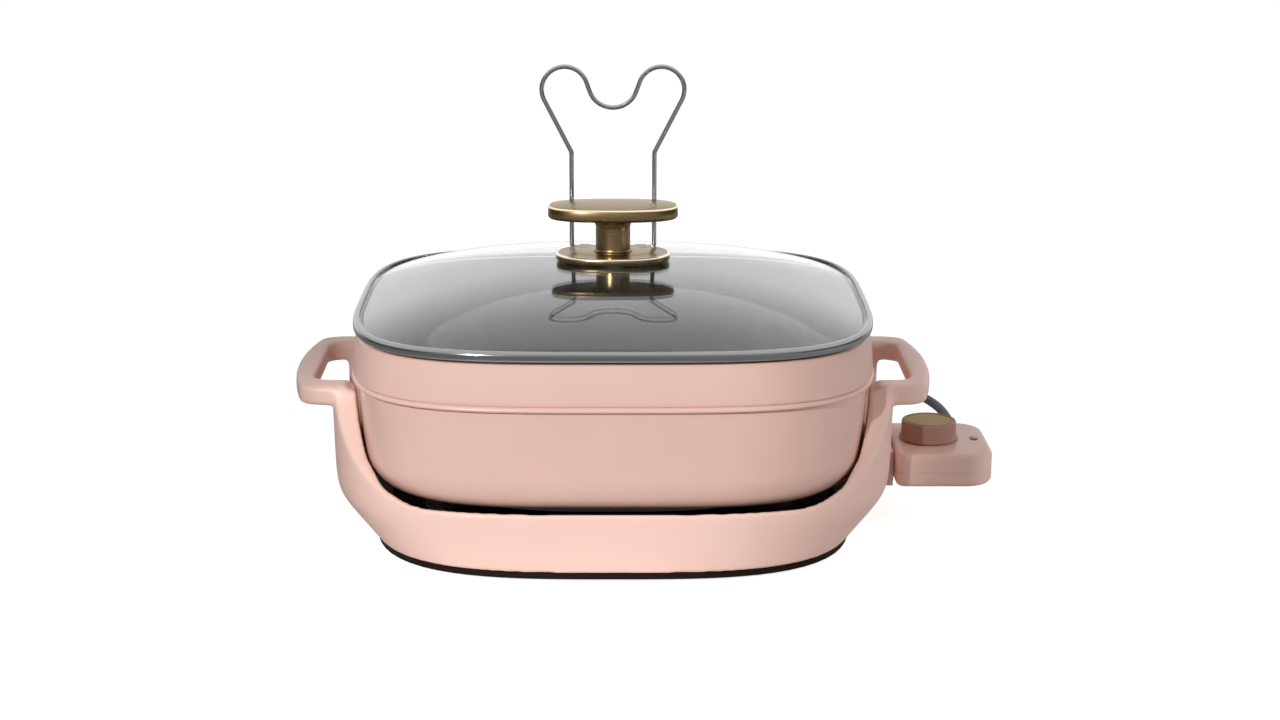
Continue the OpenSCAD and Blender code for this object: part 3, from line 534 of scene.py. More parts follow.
def place(name, shape, body, slot, finishes, nodes=(), bands=None, crease=35):
    """Adds a finished piece, with the body that it rides on and the nodes that it stands for."""
    mesh = shape if isinstance(shape, bpy.types.Mesh) else to_mesh(name, shape)
    mesh.name = name
    mesh.materials.clear()
    for label in finishes:
        mesh.materials.append(FINISHES[label])
    if bands is not None:
        mesh.polygons.foreach_set("material_index", bands)
    mesh.shade_smooth()
    mesh.set_sharp_from_angle(angle=math.radians(crease))
    piece = add_object(name, mesh)
    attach(piece, body)
    if nodes:
        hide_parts(*nodes)
    return piece


def lathe(profile, middle, axis="z", count=72):
    """A turned skin: a profile of [radius, distance] pairs about a line through middle along an axis."""
    rings = [level(circle(radius, count), distance) for radius, distance in profile]
    points, faces = skin(rings)
    x, y, z = points.T
    turned = {"z": (x, y, z), "y": (x, z, -y), "-x": (-z, y, x)}[axis]
    return np.stack(turned, axis=1) + np.array(middle), faces


def block(low, high, edge, count=4):
    """A box with rounded edges."""
    low, high = np.array(low), np.array(high)
    half_x, half_y = (high[:2] - low[:2]) / 2
    middle = (low[:2] + high[:2]) / 2

    def outline(inset):
        return rounded(half_x - inset, half_y - inset, edge * 1.2 - inset, count) + middle

    rises = [(edge - across, edge - up) for across, up in arc(edge, 0, 90, count)]
    rings = [level(outline(inset), low[2] + rise) for inset, rise in reversed(rises)]
    rings += [level(outline(inset), high[2] - rise) for inset, rise in rises]
    return skin(rings)


# Cradle, pan and lid


def even(flat, count):
    """A closed outline drawn again with evenly spaced points."""
    ring = np.vstack([flat, flat[:1]])
    run = np.concatenate([[0], np.cumsum(np.linalg.norm(np.diff(ring, axis=0), axis=1))])
    stops = np.arange(count) * run[-1] / count
    return np.stack([np.interp(stops, run, ring[:, k]) for k in (0, 1)], axis=1)


def smooth(value):
    """A soft step from 0 to 1."""
    value = np.clip(value, 0, 1)
    return value * value * (3 - 2 * value)


def bowl_half(z):
    """Half width of the pan's outside at a height below its bead."""
    pan = settings().pan
    side, bend, up = pan.half_x - pan.bowl_in, pan.bowl_round, z - pan.bottom
    rounded = side - bend + np.sqrt(np.maximum(0, bend ** 2 - (bend - up) ** 2))
    straight = side + BOWL_FLARE * (up - bend) / (pan.top - pan.collar - pan.bottom - bend)
    return np.where(up < bend, rounded, straight)


def pan_ring(half, z):
    """The outline that pan and lid share, at a half width and a height."""
    pan = settings().pan
    return level(superellipse(half, half - (pan.half_x - pan.half_y), pan.power), z)


def flare_half(z):
    """Half width of the arms' outside: a slope out of the base, a soft bend, then nearly upright."""
    shape = settings().cradle
    slope = shape.half_x + shape.slope * (z - shape.bottom)
    upright = shape.arm_x - shape.lean * (shape.handle_top - z) / (shape.handle_top - shape.bottom)
    return (slope + upright) / 2 - np.sqrt(((slope - upright) / 2) ** 2 + shape.bend ** 2)


def cradle_skin(columns=760, rows=48):
    """The skirt and arms: a wall whose top edge climbs from the skirt to the handles."""
    shape, pan = settings().cradle, settings().pan
    x, y = even(superellipse(shape.half_x, shape.half_y, shape.power, 3000), columns).T
    depth, side = np.abs(y), np.sign(x)
    arm_end = shape.half_y - shape.arm_foot
    share = smooth((arm_end + MM - depth) / shape.fade)
    skirt_top = shape.bottom + shape.skirt
    fall = np.clip((depth - shape.handle_half) / (arm_end - shape.handle_half), 0, 1) ** (1 / shape.taper)
    climb = np.hypot(1 - fall, ARM_EASE) - ARM_EASE
    top = np.minimum(skirt_top + (shape.handle_top - skirt_top) * climb, shape.handle_top - 2 * MM)

    def outer(step):
        z = shape.bottom + (top - shape.bottom) * step
        half = shape.half_x + flare_half(z) - flare_half(shape.bottom)
        return np.stack([x * half / shape.half_x, y, z], axis=1)

    def inner(step):
        out_x, _, z = outer(step).T
        bowl = bowl_half(np.maximum(z, pan.bottom + 0.6 * pan.bowl_round)) + shape.bowl_gap
        bowl_depth = bowl - (pan.half_x - pan.half_y)
        along = np.maximum(0, 1 - (depth / bowl_depth) ** pan.power) ** (1 / pan.power)
        arm = np.minimum(bowl * along, np.abs(out_x) - shape.arm_wall)
        skirt = np.abs(out_x) * (1 - shape.wall / shape.half_x)
        across = side * ((1 - share) * skirt + share * arm)
        return np.stack([across, y * (1 - (1 - share) * shape.wall / shape.half_y), z], axis=1)

    steps = np.linspace(0, 1, rows)
    return skin([outer(step) for step in steps] + [inner(step) for step in steps[::-1]], loop=True)


def handle_skin():
    """The right handle: a loop of bar, open towards the pan, with rounded edges."""
    shape = settings().cradle
    root = HANDLE_LOW.x + MM

    def outline(inset):
        far, half = shape.reach - inset, shape.handle_half - inset
        inner, gap = shape.reach - shape.grip + inset, shape.handle_half - shape.post + inset
        out_r, in_r = shape.corner - inset, shape.inner_corner + inset
        side = np.linspace(out_r - half, half - out_r, 14)[1:-1]
        parts = [[(root, -half)], arc(out_r, -90, 0, 10) + (far - out_r, out_r - half),
                 [(far, y) for y in side],
                 arc(out_r, 0, 90, 10) + (far - out_r, half - out_r), [(root, half)], [(root, gap)],
                 arc(in_r, 90, 0, 10) + (inner - in_r, gap - in_r),
                 arc(in_r, 0, -90, 10) + (inner - in_r, in_r - gap), [(root, -gap)]]
        flat = np.concatenate([np.array(part, float) for part in parts])
        bow = shape.bow - inset
        limit = far - bow + np.sqrt(bow ** 2 - flat[:, 1] ** 2)
        return np.column_stack([np.minimum(flat[:, 0], limit), flat[:, 1]])

    bends = [(shape.round - across, shape.round - up) for across, up in arc(shape.round, 0, 90, 5)]
    rings = [level(outline(inset), shape.handle_low + rise) for inset, rise in reversed(bends)]
    rings += [level(outline(inset), shape.handle_top - rise) for inset, rise in bends]
    return skin(rings)


def finger_cutter():
    """The finger cut through the top of the right arm: a rounded slot seen along X."""
    shape = settings().cradle
    half, bend = shape.handle_half - shape.post, shape.inner_corner
    floor, roof = shape.handle_top - shape.finger_drop, shape.handle_top + 10 * MM
    slot = np.concatenate([[(half, roof), (-half, roof)],
                           arc(bend, 180, 270, 8) + (bend - half, floor + bend),
                           arc(bend, 270, 360, 8) + (half - bend, floor + bend)])
    ends = (HANDLE_LOW.x - 40 * MM, HANDLE_HIGH.x - 5 * MM)
    return skin([np.column_stack([np.full(len(slot), across), slot]) for across in ends])


def box_skin(low, high):
    """A plain box for cutting."""
    corners = np.array([(low[0], low[1]), (high[0], low[1]), (high[0], high[1]), (low[0], high[1])])
    return skin([level(corners, low[2]), level(corners, high[2])])


class SKILLET_OT_cradle(bpy.types.Operator):
    """Mould the skirt, the arms and the two handles as one smooth pink shell"""
    bl_idname = "skillet.cradle"
    bl_label = "Cradle and handles"

    def execute(self, context):
        shape = settings().cradle
        low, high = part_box("socket_shroud")
        play = Vector((30, 0.3, 0.3)) * MM
        window = box_skin(low - play, high + play)
        shell = carved(cradle_skin(), "cradle", finger_cutter(), mirrored(finger_cutter()), window)
        draft = merged("moulding_draft", shell, handle_skin(), mirrored(handle_skin()))
        moulding = add_object("moulding_draft", draft)
        draw = moulding.modifiers.new("Skin", "REMESH")
        draw.mode = "VOXEL"
        draw.voxel_size = shape.voxel
        ease = moulding.modifiers.new("Ease", "SMOOTH")
        ease.factor = 0.5
        ease.iterations = 14
        mesh = baked(moulding, "cradle_moulding")
        place("cradle_moulding", mesh, "base", "pink_moulding", ["pink"],
              ["cradle", "handle_left", "handle_right"], crease=80)
        return {"FINISHED"}


class SKILLET_OT_pan(bpy.types.Operator):
    """Cast the pan: enamel outside, nonstick inside, with its bead and collar"""
    bl_idname = "skillet.pan"
    bl_label = "Pan"

    def execute(self, context):
        pan = settings().pan
        bead_z, collar_z = pan.top - pan.collar - pan.bead, pan.top - pan.collar
        lip_z = pan.top - pan.lip
        bend = pan.bowl_round
        turns = np.linspace(0, math.pi / 2, 16)
        heights = [*(pan.bottom + bend * (1 - np.cos(turns))),
                   *np.linspace(pan.bottom + bend + 6 * MM, bead_z, 5)]
        outside = [(float(bowl_half(z)), z) for z in heights]
        foot = float(bowl_half(bead_z))
        swell = pan.half_x + pan.bead_out - foot
        beading = ((0.02, 0.02), (0.45, 0.06), (0.8, 0.18), (0.97, 0.36), (1.0, 0.5), (0.95, 0.7),
                   (0.75, 0.9))
        outside += [(foot + swell * out, bead_z + pan.bead * up) for out, up in beading]
        outside += about(pan.half_x, collar_z, (-0.5, 0.1), (0.2, 0.5), (0.55, 1.2))
        outside += [(pan.half_x + (0.5 - 2.3 * up ** 1.5) * MM, collar_z + (lip_z - collar_z - 0.6 * MM) * up)
                    for up in np.linspace(0.12, 1, 7)]
        outside += about(pan.half_x, lip_z, (-2.4, 0))
        lip = [(pan.half_x - pan.lip_in, lip_z)]
        lip += about(pan.half_x - pan.lip_in, pan.top, (0, -0.3), (-0.3, 0))
        lip += about(pan.half_x, pan.top, (-6.2, 0))
        floor, inner = pan.bottom + pan.wall, bend - pan.wall
        side = pan.half_x - pan.bowl_in - pan.wall
        inside = about(side, bead_z, (2.5, 0), (1.2, -16))
        inside += [(side - inner * (1 - math.cos(t)), floor + inner * (1 - math.sin(t)))
                   for t in np.linspace(0, math.pi / 2, 14)]
        profile = outside + lip + inside
        shape = skin([pan_ring(half, z) for half, z in profile])
        count = len(pan_ring(pan.half_x, 0))
        dark = np.arange(len(profile) - 1) >= len(outside)
        bands = np.concatenate([np.repeat(dark, count), [False, True]]).astype(np.int32)
        place("pan_casting", shape, "base", "pan_enamel", ["enamel", "nonstick"], ["pan"], bands)
        return {"FINISHED"}


class SKILLET_OT_lid(bpy.types.Operator):
    """Blow the glass dome and fold the steel rim round it"""
    bl_idname = "skillet.lid"
    bl_label = "Lid"

    def execute(self, context):
        lid, pan = settings().lid, settings().pan
        flange, less = pan.half_x - lid.rim_width - MM, pan.half_x - pan.half_y
        edge, low = pan.half_x - lid.glass_inset, GLASS_LOW.z

        def dome(share, drop):
            z = low + lid.glass + lid.dome * (1 - share ** lid.dome_power) - drop
            flat = superellipse(flange * share, (flange - less * share) * share, 2 + (pan.power - 2) * share)
            return level(flat, z)

        shares = 1 - np.linspace(0, 1, 46) ** 1.15 * (1 - lid.hole / flange)
        rings = [pan_ring(edge, low + 0.6 * MM), pan_ring(edge, low + lid.glass - 0.6 * MM),
                 pan_ring(edge - 0.6 * MM, low + lid.glass)]
        rings += [dome(share, 0) for share in shares]
        rings += [dome(share, lid.glass) for share in shares[::-1]]
        rings += [pan_ring(edge - 0.6 * MM, low)]
        place("lid_glass_dome", skin(rings, loop=True), "lid", "glass", ["glass"], ["lid_glass"], crease=50)
        base, top, wall = RIM_LOW.z, RIM_HIGH.z, 1.0 * MM
        foot_bend, crown_bend = 2.2 * MM, 2.6 * MM
        inner, channel = pan.half_x - lid.rim_width, pan.half_x - lid.glass_inset + 0.4 * MM
        foot = arc(foot_bend, -90, 0, 8) + (pan.half_x - foot_bend, base + foot_bend)
        crown = arc(crown_bend, 0, 90, 10) + (pan.half_x - crown_bend, top - crown_bend)
        hem = about(inner, top, (0.3, 0), (0, -0.3))
        hem += [(inner, top - wall), (channel, top - wall), (channel, base + wall), (inner, base + wall),
                (inner, base)]
        rings = [pan_ring(half, z) for half, z in [*foot, *crown, *hem]]
        place("lid_rim_band", skin(rings, loop=True), "lid", "sheet_steel", ["rim"], ["lid_rim"], crease=50)
        return {"FINISHED"}


class SKILLET_OT_knob(bpy.types.Operator):
    """Turn the knob's base, stem and cap"""
    bl_idname = "skillet.knob"
    bl_label = "Knob"

    def execute(self, context):
        lid = settings().lid

        def plate(half_x, half_y, power, low, profile):
            outlines = [superellipse(half_x - inset * MM, half_y - inset * MM, power, KNOB_SIDES)
                        for inset, _ in profile]
            return skin([level(flat, low + up * MM) for flat, (_, up) in zip(outlines, profile)])

        # The listed rings are drawn in the lighter brass, a painted highlight along the cap's chamfer and the
        # base plate's lip
        def highlight_banded(name, node, bright, *parts):
            mesh = merged(name, *parts)
            bands = np.zeros(len(mesh.polygons), np.int32)
            for ring in bright:
                bands[ring * KNOB_SIDES:(ring + 1) * KNOB_SIDES] = 1
            place(name, mesh, "lid", "satin_brass", ["brass", "bright"], [node], bands)

        base_z = STEM_LOW.z - lid.knob_t
        lip = [(1.6, -0.5), (0.8, -0.4), (0.3, 0.2), (0.05, 1.2), (0, 2.2), (0.15, 2.9), (0.5, 3.45),
               (1.0, 3.8), (1.7, 3.95)]
        rise = [(2.6, 3.85), (4, 3.8), (8, 3.95), (11, 4.3), (12.5, 4.5), (20, 4.5)]
        base = plate(lid.knob_half_x, lid.knob_half_y, 2.3, base_z, lip + rise)
        ear_x, ear_half, ear_front, ear_back = 17.2 * MM, 4 * MM, 11 * MM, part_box("knob_base")[1].y
        ears = [block((side * ear_x - ear_half, ear_front, base_z + 0.4 * MM),
                      (side * ear_x + ear_half, ear_back, base_z + 4.1 * MM), 1.4 * MM) for side in (-1, 1)]
        # The bands over the lip's rounded top carry the painted highlight
        highlight_banded("knob_base_plate", "knob_base", (5, 6, 7), base, *ears)
        stem = about(lid.stem, 0, (1.3, 0), (1.2, 0.5), (0.5, 1.0), (0.1, 1.7), (0, 2.6))
        stem += about(lid.stem, STEM_HIGH.z - STEM_LOW.z, (0, -6.4), (0.15, -5.0), (0.6, -3.7), (1.4, -2.4),
                      (2.3, -1.4), (2.9, -0.7), (3.0, 0))
        place("knob_stem_turned", lathe(stem, (0, 0, STEM_LOW.z)), "lid", "satin_brass", ["brass"],
              ["knob_stem"])
        tall = (CAP_HIGH.z - CAP_LOW.z) / MM
        foot = [(1.8 - across, 1.8 + up) for across, up in arc(1.8, -90, 0, 6)]
        brow = [(0, tall - 2.5), (0.15, tall - 2.2), (1.0, tall - 1.35), (1.3, tall - 1.2)]
        crown = [(2.4, tall - 1.05), (5, tall - 0.7), (9, tall - 0.35), (14, tall - 0.1), (18, tall)]
        cap = plate(CAP_HIGH.x, CAP_HIGH.y, 2.6, CAP_LOW.z, [(4.5, 0)] + foot + brow + crown)
        # The band across the cap's chamfer carries the painted highlight
        highlight_banded("knob_cap_plate", "knob_cap", (len(foot) + 2,), cap)
        return {"FINISHED"}


# Wire stand and the node trees that draw what repeats or follows a path


def node_tree(name, inputs):
    """A new geometry tree with named inputs; returns the tree and its group nodes."""
    tree = bpy.data.node_groups.new(name, "GeometryNodeTree")
    tree.interface.new_socket("Geometry", in_out="INPUT", socket_type="NodeSocketGeometry")
    for label, kind in inputs:
        tree.interface.new_socket(label, in_out="INPUT", socket_type=kind)
    tree.interface.new_socket("Geometry", in_out="OUTPUT", socket_type="NodeSocketGeometry")
    return tree, tree.nodes.new("NodeGroupInput"), tree.nodes.new("NodeGroupOutput")


def link(tree, *rows):
    """Links nodes: each row has a node and its output, then the next node and its input."""
    for source, out, target, into in rows:
        tree.links.new(source.outputs[out], target.inputs[into])


def finish_tree(tree, given, last, maker, out):
    """Ends a tree in real geometry with the given material."""
    real = tree.nodes.new("GeometryNodeRealizeInstances")
    coat = tree.nodes.new("GeometryNodeSetMaterial")
    link(tree, (maker, out, real, "Geometry"), (real, "Geometry", coat, "Geometry"),
         (given, "Material", coat, "Material"), (coat, "Geometry", last, "Geometry"))
    return tree


def sweep_tree():
    """Draws a round bar along a path of edges."""
    tree, given, last = node_tree("Bar along path", [
        ("Radius", "NodeSocketFloat"), ("Sides", "NodeSocketInt"), ("Material", "NodeSocketMaterial")])
    path = tree.nodes.new("GeometryNodeMeshToCurve")
    section = tree.nodes.new("GeometryNodeCurvePrimitiveCircle")
    bar = tree.nodes.new("GeometryNodeCurveToMesh")
    bar.inputs["Fill Caps"].default_value = True
    link(tree, (given, "Geometry", path, "Mesh"), (given, "Radius", section, "Radius"),
         (given, "Sides", section, "Resolution"), (path, "Curve", bar, "Curve"),
         (section, "Curve", bar, "Profile Curve"))
    return finish_tree(tree, given, last, bar, "Mesh")


def scatter_tree():
    """Puts one object at every point."""
    tree, given, last = node_tree("Screws at points", [
        ("Screw", "NodeSocketObject"), ("Material", "NodeSocketMaterial")])
    source = tree.nodes.new("GeometryNodeObjectInfo")
    copies = tree.nodes.new("GeometryNodeInstanceOnPoints")
    link(tree, (given, "Screw", source, "Object"), (given, "Geometry", copies, "Points"),
         (source, "Geometry", copies, "Instance"))
    return finish_tree(tree, given, last, copies, "Instances")


def grown(name, tree, points, edges, **values):
    """The plain mesh that a geometry tree makes from points and edges."""
    seed = bpy.data.meshes.new(name)
    seed.from_pydata([tuple(point) for point in points], edges, [])
    holder = add_object(name + "_draft", seed)
    nodes = holder.modifiers.new("Nodes", "NODES")
    nodes.node_group = tree
    for socket in tree.interface.items_tree:
        if socket.in_out == "INPUT" and socket.name in values:
            nodes[socket.identifier] = values[socket.name]
    return baked(holder, name)


def merged(name, *parts):
    """Several skins or meshes as one mesh."""
    whole = bmesh.new()
    for part in parts:
        whole.from_mesh(part if isinstance(part, bpy.types.Mesh) else to_mesh(name, part))
    mesh = bpy.data.meshes.new(name)
    whole.to_mesh(mesh)
    whole.free()
    return mesh


class SKILLET_OT_wire(bpy.types.Operator):
    """Bend the folding wire stand along its path"""
    bl_idname = "skillet.wire"
    bl_label = "Wire stand"

    def execute(self, context):
        wire = settings().wire
        low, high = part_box("wire_stand")
        y, z = middle_of(low, high)[1], low.z + wire.diameter / 2
        knee_x = wire.leg_x + wire.knee
        reach_x, reach_z = wire.lobe_x - knee_x, wire.lobe_z - wire.leg
        turn = math.degrees(math.atan2(reach_x, reach_z)
                            + math.asin((wire.lobe + wire.knee) / math.hypot(reach_x, reach_z)))
        root = wire.leg_x - wire.foot_bend - 1.5 * MM
        lean = math.radians(wire.slant)
        run = (wire.lobe_x - (wire.lobe + wire.dip) * math.cos(lean)) / math.tan(lean)
        dip_z = wire.lobe_z + (wire.lobe + wire.dip) * math.sin(lean) - run
        half = np.concatenate([
            [(root, 0)],
            arc(wire.foot_bend, -90, 0, 8) + (wire.leg_x - wire.foot_bend, wire.foot_bend),
            arc(wire.knee, 180, 180 - turn, 8) + (knee_x, wire.leg),
            arc(wire.lobe, -turn, 180 - wire.slant, 40) + (wire.lobe_x, wire.lobe_z),
            arc(wire.dip, -wire.slant, -90, 18) + (0, dip_z)])
        path = np.concatenate([half, half[-2::-1] * (-1, 1)])
        points = [(across, y, z + up) for across, up in path]
        bar = grown("wire_bar", sweep_tree(), points, [(k, k + 1) for k in range(len(points) - 1)],
                    Radius=wire.diameter / 2, Sides=20, Material=FINISHES["wire"])
        reach = root - PIVOT_END + 0.8 * MM
        pivot = [(wire.pin / 2 - 0.3 * MM, 0), (wire.pin / 2, 0.3 * MM), (wire.pin / 2, reach)]
        left = lathe(pivot, (-PIVOT_END, y, z), axis="-x", count=24)
        place("wire_bent", merged("wire_bent", bar, left, mirrored(left)), "wire", "sheet_steel", ["wire"],
              ["wire_stand"], crease=60)
        return {"FINISHED"}


# Heat control and dial


def case_outline(inset):
    """The control's outline seen from above, drawn in by an inset."""
    control = settings().control
    half, left, right = LOWER_HIGH.y - inset, LOWER_LOW.x + inset, LOWER_HIGH.x - inset
    far, near = max(control.corner - inset, 1.5 * MM), max(control.near_corner - inset, 1.0 * MM)
    corners = [(far, -90, right - far, far - half), (far, 0, right - far, half - far),
               (near, 90, left + near, half - near), (near, 180, left + near, near - half)]
    return np.concatenate([arc(radius, start, start + 90, 12) + (x, y) for radius, start, x, y in corners])


def case_cup(mouth, crown, edge):
    """One half of the control's case: a cup from its mouth to its crown, which may lie above or below."""
    wall, way, middle = settings().control.wall, 1 if crown > mouth else -1, 28 * MM
    inner = [(middle, crown - way * wall), (wall + edge, crown - way * wall),
             (wall + 0.3 * edge, crown - way * edge), (wall, crown - way * 1.6 * edge),
             (wall, mouth + way * 0.3 * MM), (wall + 0.3 * MM, mouth)]
    outer = [(0.35 * MM, mouth), (0, mouth + way * 0.35 * MM)]
    outer += [(edge - across, crown - way * (edge - up)) for across, up in arc(edge, 0, 90, 7)]
    outer += [(edge + 6 * MM, crown), (middle, crown)]
    rings = [level(case_outline(inset), z) for inset, z in inner + outer]
    return skin(rings if way > 0 else rings[::-1])


def rod(middle, radius, length, axis="z", count=32):
    """A plain round cutter."""
    return lathe([(radius, 0), (radius, length)], middle, axis, count)


class SKILLET_OT_control(bpy.types.Operator):
    """Mould the two halves of the control's case, the lens and the cord's strain relief"""
    bl_idname = "skillet.control"
    bl_label = "Heat control"

    def execute(self, context):
        control = settings().control
        split, top, bottom = UPPER_LOW.z, UPPER_HIGH.z, LOWER_LOW.z
        exit_x, _, exit_z = middle_of(RELIEF_LOW, RELIEF_HIGH)
        bore = rod((exit_x, RELIEF_LOW.y - 3 * MM, exit_z), 5.6 * MM, 14 * MM, "y")
        ways = []
        for node in ("contact_sleeves", "probe"):
            low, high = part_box(node)
            radius = (high.z - low.z) / 2 + 0.15 * MM
            for y in sorted({round(low.y + radius, 6), round(high.y - radius, 6)}):
                ways.append(rod((high.x + 2 * MM, y, middle_of(low, high)[2]), radius, 30 * MM, "-x"))
        shaft_low, shaft_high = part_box("dial_shaft")
        shaft_x, shaft_r = middle_of(shaft_low, shaft_high)[0], (shaft_high.x - shaft_low.x) / 2
        hole = rod((shaft_x, 0, top - 6 * MM), shaft_r + 0.2 * MM, 12 * MM)
        lens_low, lens_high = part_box("indicator_lens")
        lens_x, half_x = middle_of(lens_low, lens_high)[0], (lens_high.x - lens_low.x) / 2

        def lens_ring(inset, z):
            return level(superellipse(half_x - inset, lens_high.y - inset, 2.6, 48) + (lens_x, 0), z)

        slot = skin([lens_ring(-0.1 * MM, z) for z in (top - 6 * MM, top + 4 * MM)])
        upper = carved(case_cup(split, top, control.edge), "control_top", bore, hole, slot, *ways)
        head, shank = (3.95 * MM, 4.2 * MM), (2.0 * MM, 9 * MM)
        seats = [rod((x, y, bottom - 2 * MM), radius, deep) for radius, deep in (head, shank)
                 for x, y, _ in screw_points("control_screws")]
        lower = carved(case_cup(split, bottom, control.edge), "control_base", bore, *seats, *ways)
        place("control_top", upper, "control", "pink_moulding", ["pink"], ["control_upper_shell"], crease=40)
        place("control_base", lower, "control", "pink_moulding", ["pink"], ["control_lower_shell"], crease=40)
        dome = [(0, lens_low.z)] + about(0, top, (0, -0.1), (0.2, 0.2), (0.7, 0.45), (1.6, 0.6))
        rings = [lens_ring(inset, z) for inset, z in dome]
        place("lamp_lens", skin(rings), "control", "lens", ["lens"], ["indicator_lens"])
        sleeve = about(0, 0, (5.0, 0), (5.5, 0.4), (5.5, 6), (5.1, 6.6))
        for rib in range(7):
            thick, along = (4.9 - 0.13 * rib) * MM, (7.4 + 2.8 * rib) * MM
            sleeve += about(thick, along, (-0.55, 0), (0, 0.5), (0, 1.6), (-0.55, 2.1))
        sleeve += about(0, RELIEF_HIGH.y - RELIEF_LOW.y, (3.7, -0.4), (3.3, 0))
        place("cord_sleeve", lathe(sleeve, (exit_x, RELIEF_LOW.y, exit_z), "y", 48), "control", "cord_jacket",
              ["plug"], ["cord_strain_relief"])
        return {"FINISHED"}


class SKILLET_OT_dial(bpy.types.Operator):
    """Turn the heat dial and its gold disc"""
    bl_idname = "skillet.dial"
    bl_label = "Heat dial"

    def execute(self, context):
        control = settings().control
        radius, tall = (DIAL_HIGH.x - DIAL_LOW.x) / 2, DIAL_HIGH.z - DIAL_LOW.z
        middle_x = middle_of(DIAL_LOW, DIAL_HIGH)[0]
        inner = radius - control.disc
        seat_low, seat_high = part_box("dial_disc")
        well, rise = seat_low.z - DIAL_LOW.z, seat_high.z - seat_low.z
        side = about(radius, 0, (-0.4, 0), (0, 0.4))
        side += about(radius, control.flange, (0, -0.4), (-0.4, 0), (-0.9, 0.3), (-1.15, 1.0))
        side += about(radius, tall, (-1.2, -1.2), (-1.4, -0.5), (-1.8, -0.1), (-2.0, 0))
        side += about(inner, tall, (0.15, -0.05)) + about(inner, well, (0.1, 0)) + about(0, well, (3, 0))
        place("dial_turned", lathe(side, (middle_x, 0, DIAL_LOW.z), count=96), "dial", "pink_moulding",
              ["dial"], ["dial_knob"])
        disc = about(inner, 0, (-0.2, 0), (0, 0.2))
        disc += about(inner, rise, (0, -0.25), (-0.3, 0), (-1.2, -0.05), (-1.5, -0.3), (-2.2, -0.3),
                      (-2.5, -0.05))
        disc += about(0, rise, (4, 0))
        place("dial_inlay", lathe(disc, (middle_x, 0, seat_low.z), count=96), "dial", "satin_brass",
              ["disc"], ["dial_disc"])
        return {"FINISHED"}


# Screws


def screw_points(node):
    """Where a node's screws stand, and the height of their heads' faces."""
    spots, apart = [], 9 * MM
    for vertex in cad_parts[node].data.vertices:
        for spot in spots:
            if abs(spot[0][0] - vertex.co.x) < apart and abs(spot[0][1] - vertex.co.y) < apart:
                spot.append(tuple(vertex.co))
                break
        else:
            spots.append([tuple(vertex.co)])
    lows = [np.array(spot).min(0) for spot in spots]
    highs = [np.array(spot).max(0) for spot in spots]
    return [((low[0] + high[0]) / 2, (low[1] + high[1]) / 2, low[2]) for low, high in zip(lows, highs)]


class SKILLET_OT_screws(bpy.types.Operator):
    """Put a cross-recessed screw at every fixing point"""
    bl_idname = "skillet.screws"
    bl_label = "Screws"

    def execute(self, context):
        tree, pitch = scatter_tree(), 1.4
        for node, body in (("handle_screws", "base"), ("base_screws", "base"), ("pan_screws", "base"),
                           ("control_screws", "control")):
            low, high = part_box(node)
            length = high.z - low.z
            turned = about(0, 0, (2.0, 0), (3.0, 0.15), (3.6, 0.6), (3.75, 1.2), (3.75, 2), (1.65, 2))
            for turn in range(int((length - 4 * MM) / (pitch * MM))):
                turned += about(0, (3 + pitch * turn) * MM, (1.65, 0), (1.25, 0.7))
            turned += about(0, length, (1.0, 0))
            arms = [box_skin((-a * MM, -b * MM, -MM), (a * MM, b * MM, 1.1 * MM))
                    for a, b in ((1.7, 0.35), (0.35, 1.7))]
            pattern = carved(lathe(turned, (0, 0, 0), count=32), node + "_pattern", *arms)
            screw = add_object(node + "_pattern", pattern)
            mesh = grown(node + "_driven", tree, screw_points(node), [], Screw=screw,
                         Material=FINISHES["zinc"])
            bpy.data.objects.remove(screw)
            place(node + "_driven", mesh, body, "fastener_steel", ["zinc"], [node])
        return {"FINISHED"}


# Mains cord


def cord_points():
    """The cord's route: out of its sleeve, down behind the pan, along the table and into its coil."""
    cord = settings().cord
    exit_x, _, exit_z = middle_of(RELIEF_LOW, RELIEF_HIGH)
    route = [(exit_x, y * MM, exit_z) for y in (37, 49, 61)]
    route += [(x * MM, y * MM, z * MM) for x, y, z in (
        (217.5, 73, 38.3), (215, 85, 40.6), (210.5, 97, 42.4), (204.5, 108, 43.6), (197.5, 118, 44),
        (189.5, 127, 42.8), (180.5, 135, 39.2), (171, 141.5, 33.6), (161, 146, 26.4), (150, 149, 18.8),
        (138.5, 150.3, 12), (126.5, 150.5, 7), (114, 150.2, 4.2), (101, 150, 3.1), (90, 150, 3.6),
        (79, 150, 4.2), (68, 150, 4.2))]
    down = 360 * cord.turns
    over = down + 180
    inner = cord.coil_out - cord.coil_step * cord.turns
    for turn in np.arange(0, over + down + 0.1, 360 / cord.per_turn):
        radius, lift = inner, 1.0
        if turn < down:
            radius, lift = cord.coil_out - cord.coil_step * turn / 360, 0.0
        elif turn < over:
            lift = (1 - math.cos(math.radians(turn - down))) / 2
        else:
            radius = inner + cord.coil_step * (turn - over) / 360
        angle = math.radians(turn)
        route.append((cord.coil_x - radius * math.sin(angle), cord.coil_y - radius * math.cos(angle),
                      cord.coil_z + cord.coil_rise * lift))
    top = cord.coil_z + cord.coil_rise
    route += [(cord.coil_x - back, cord.coil_y - cord.coil_out, top) for back in (cord.diameter, cord.tail)]
    return route


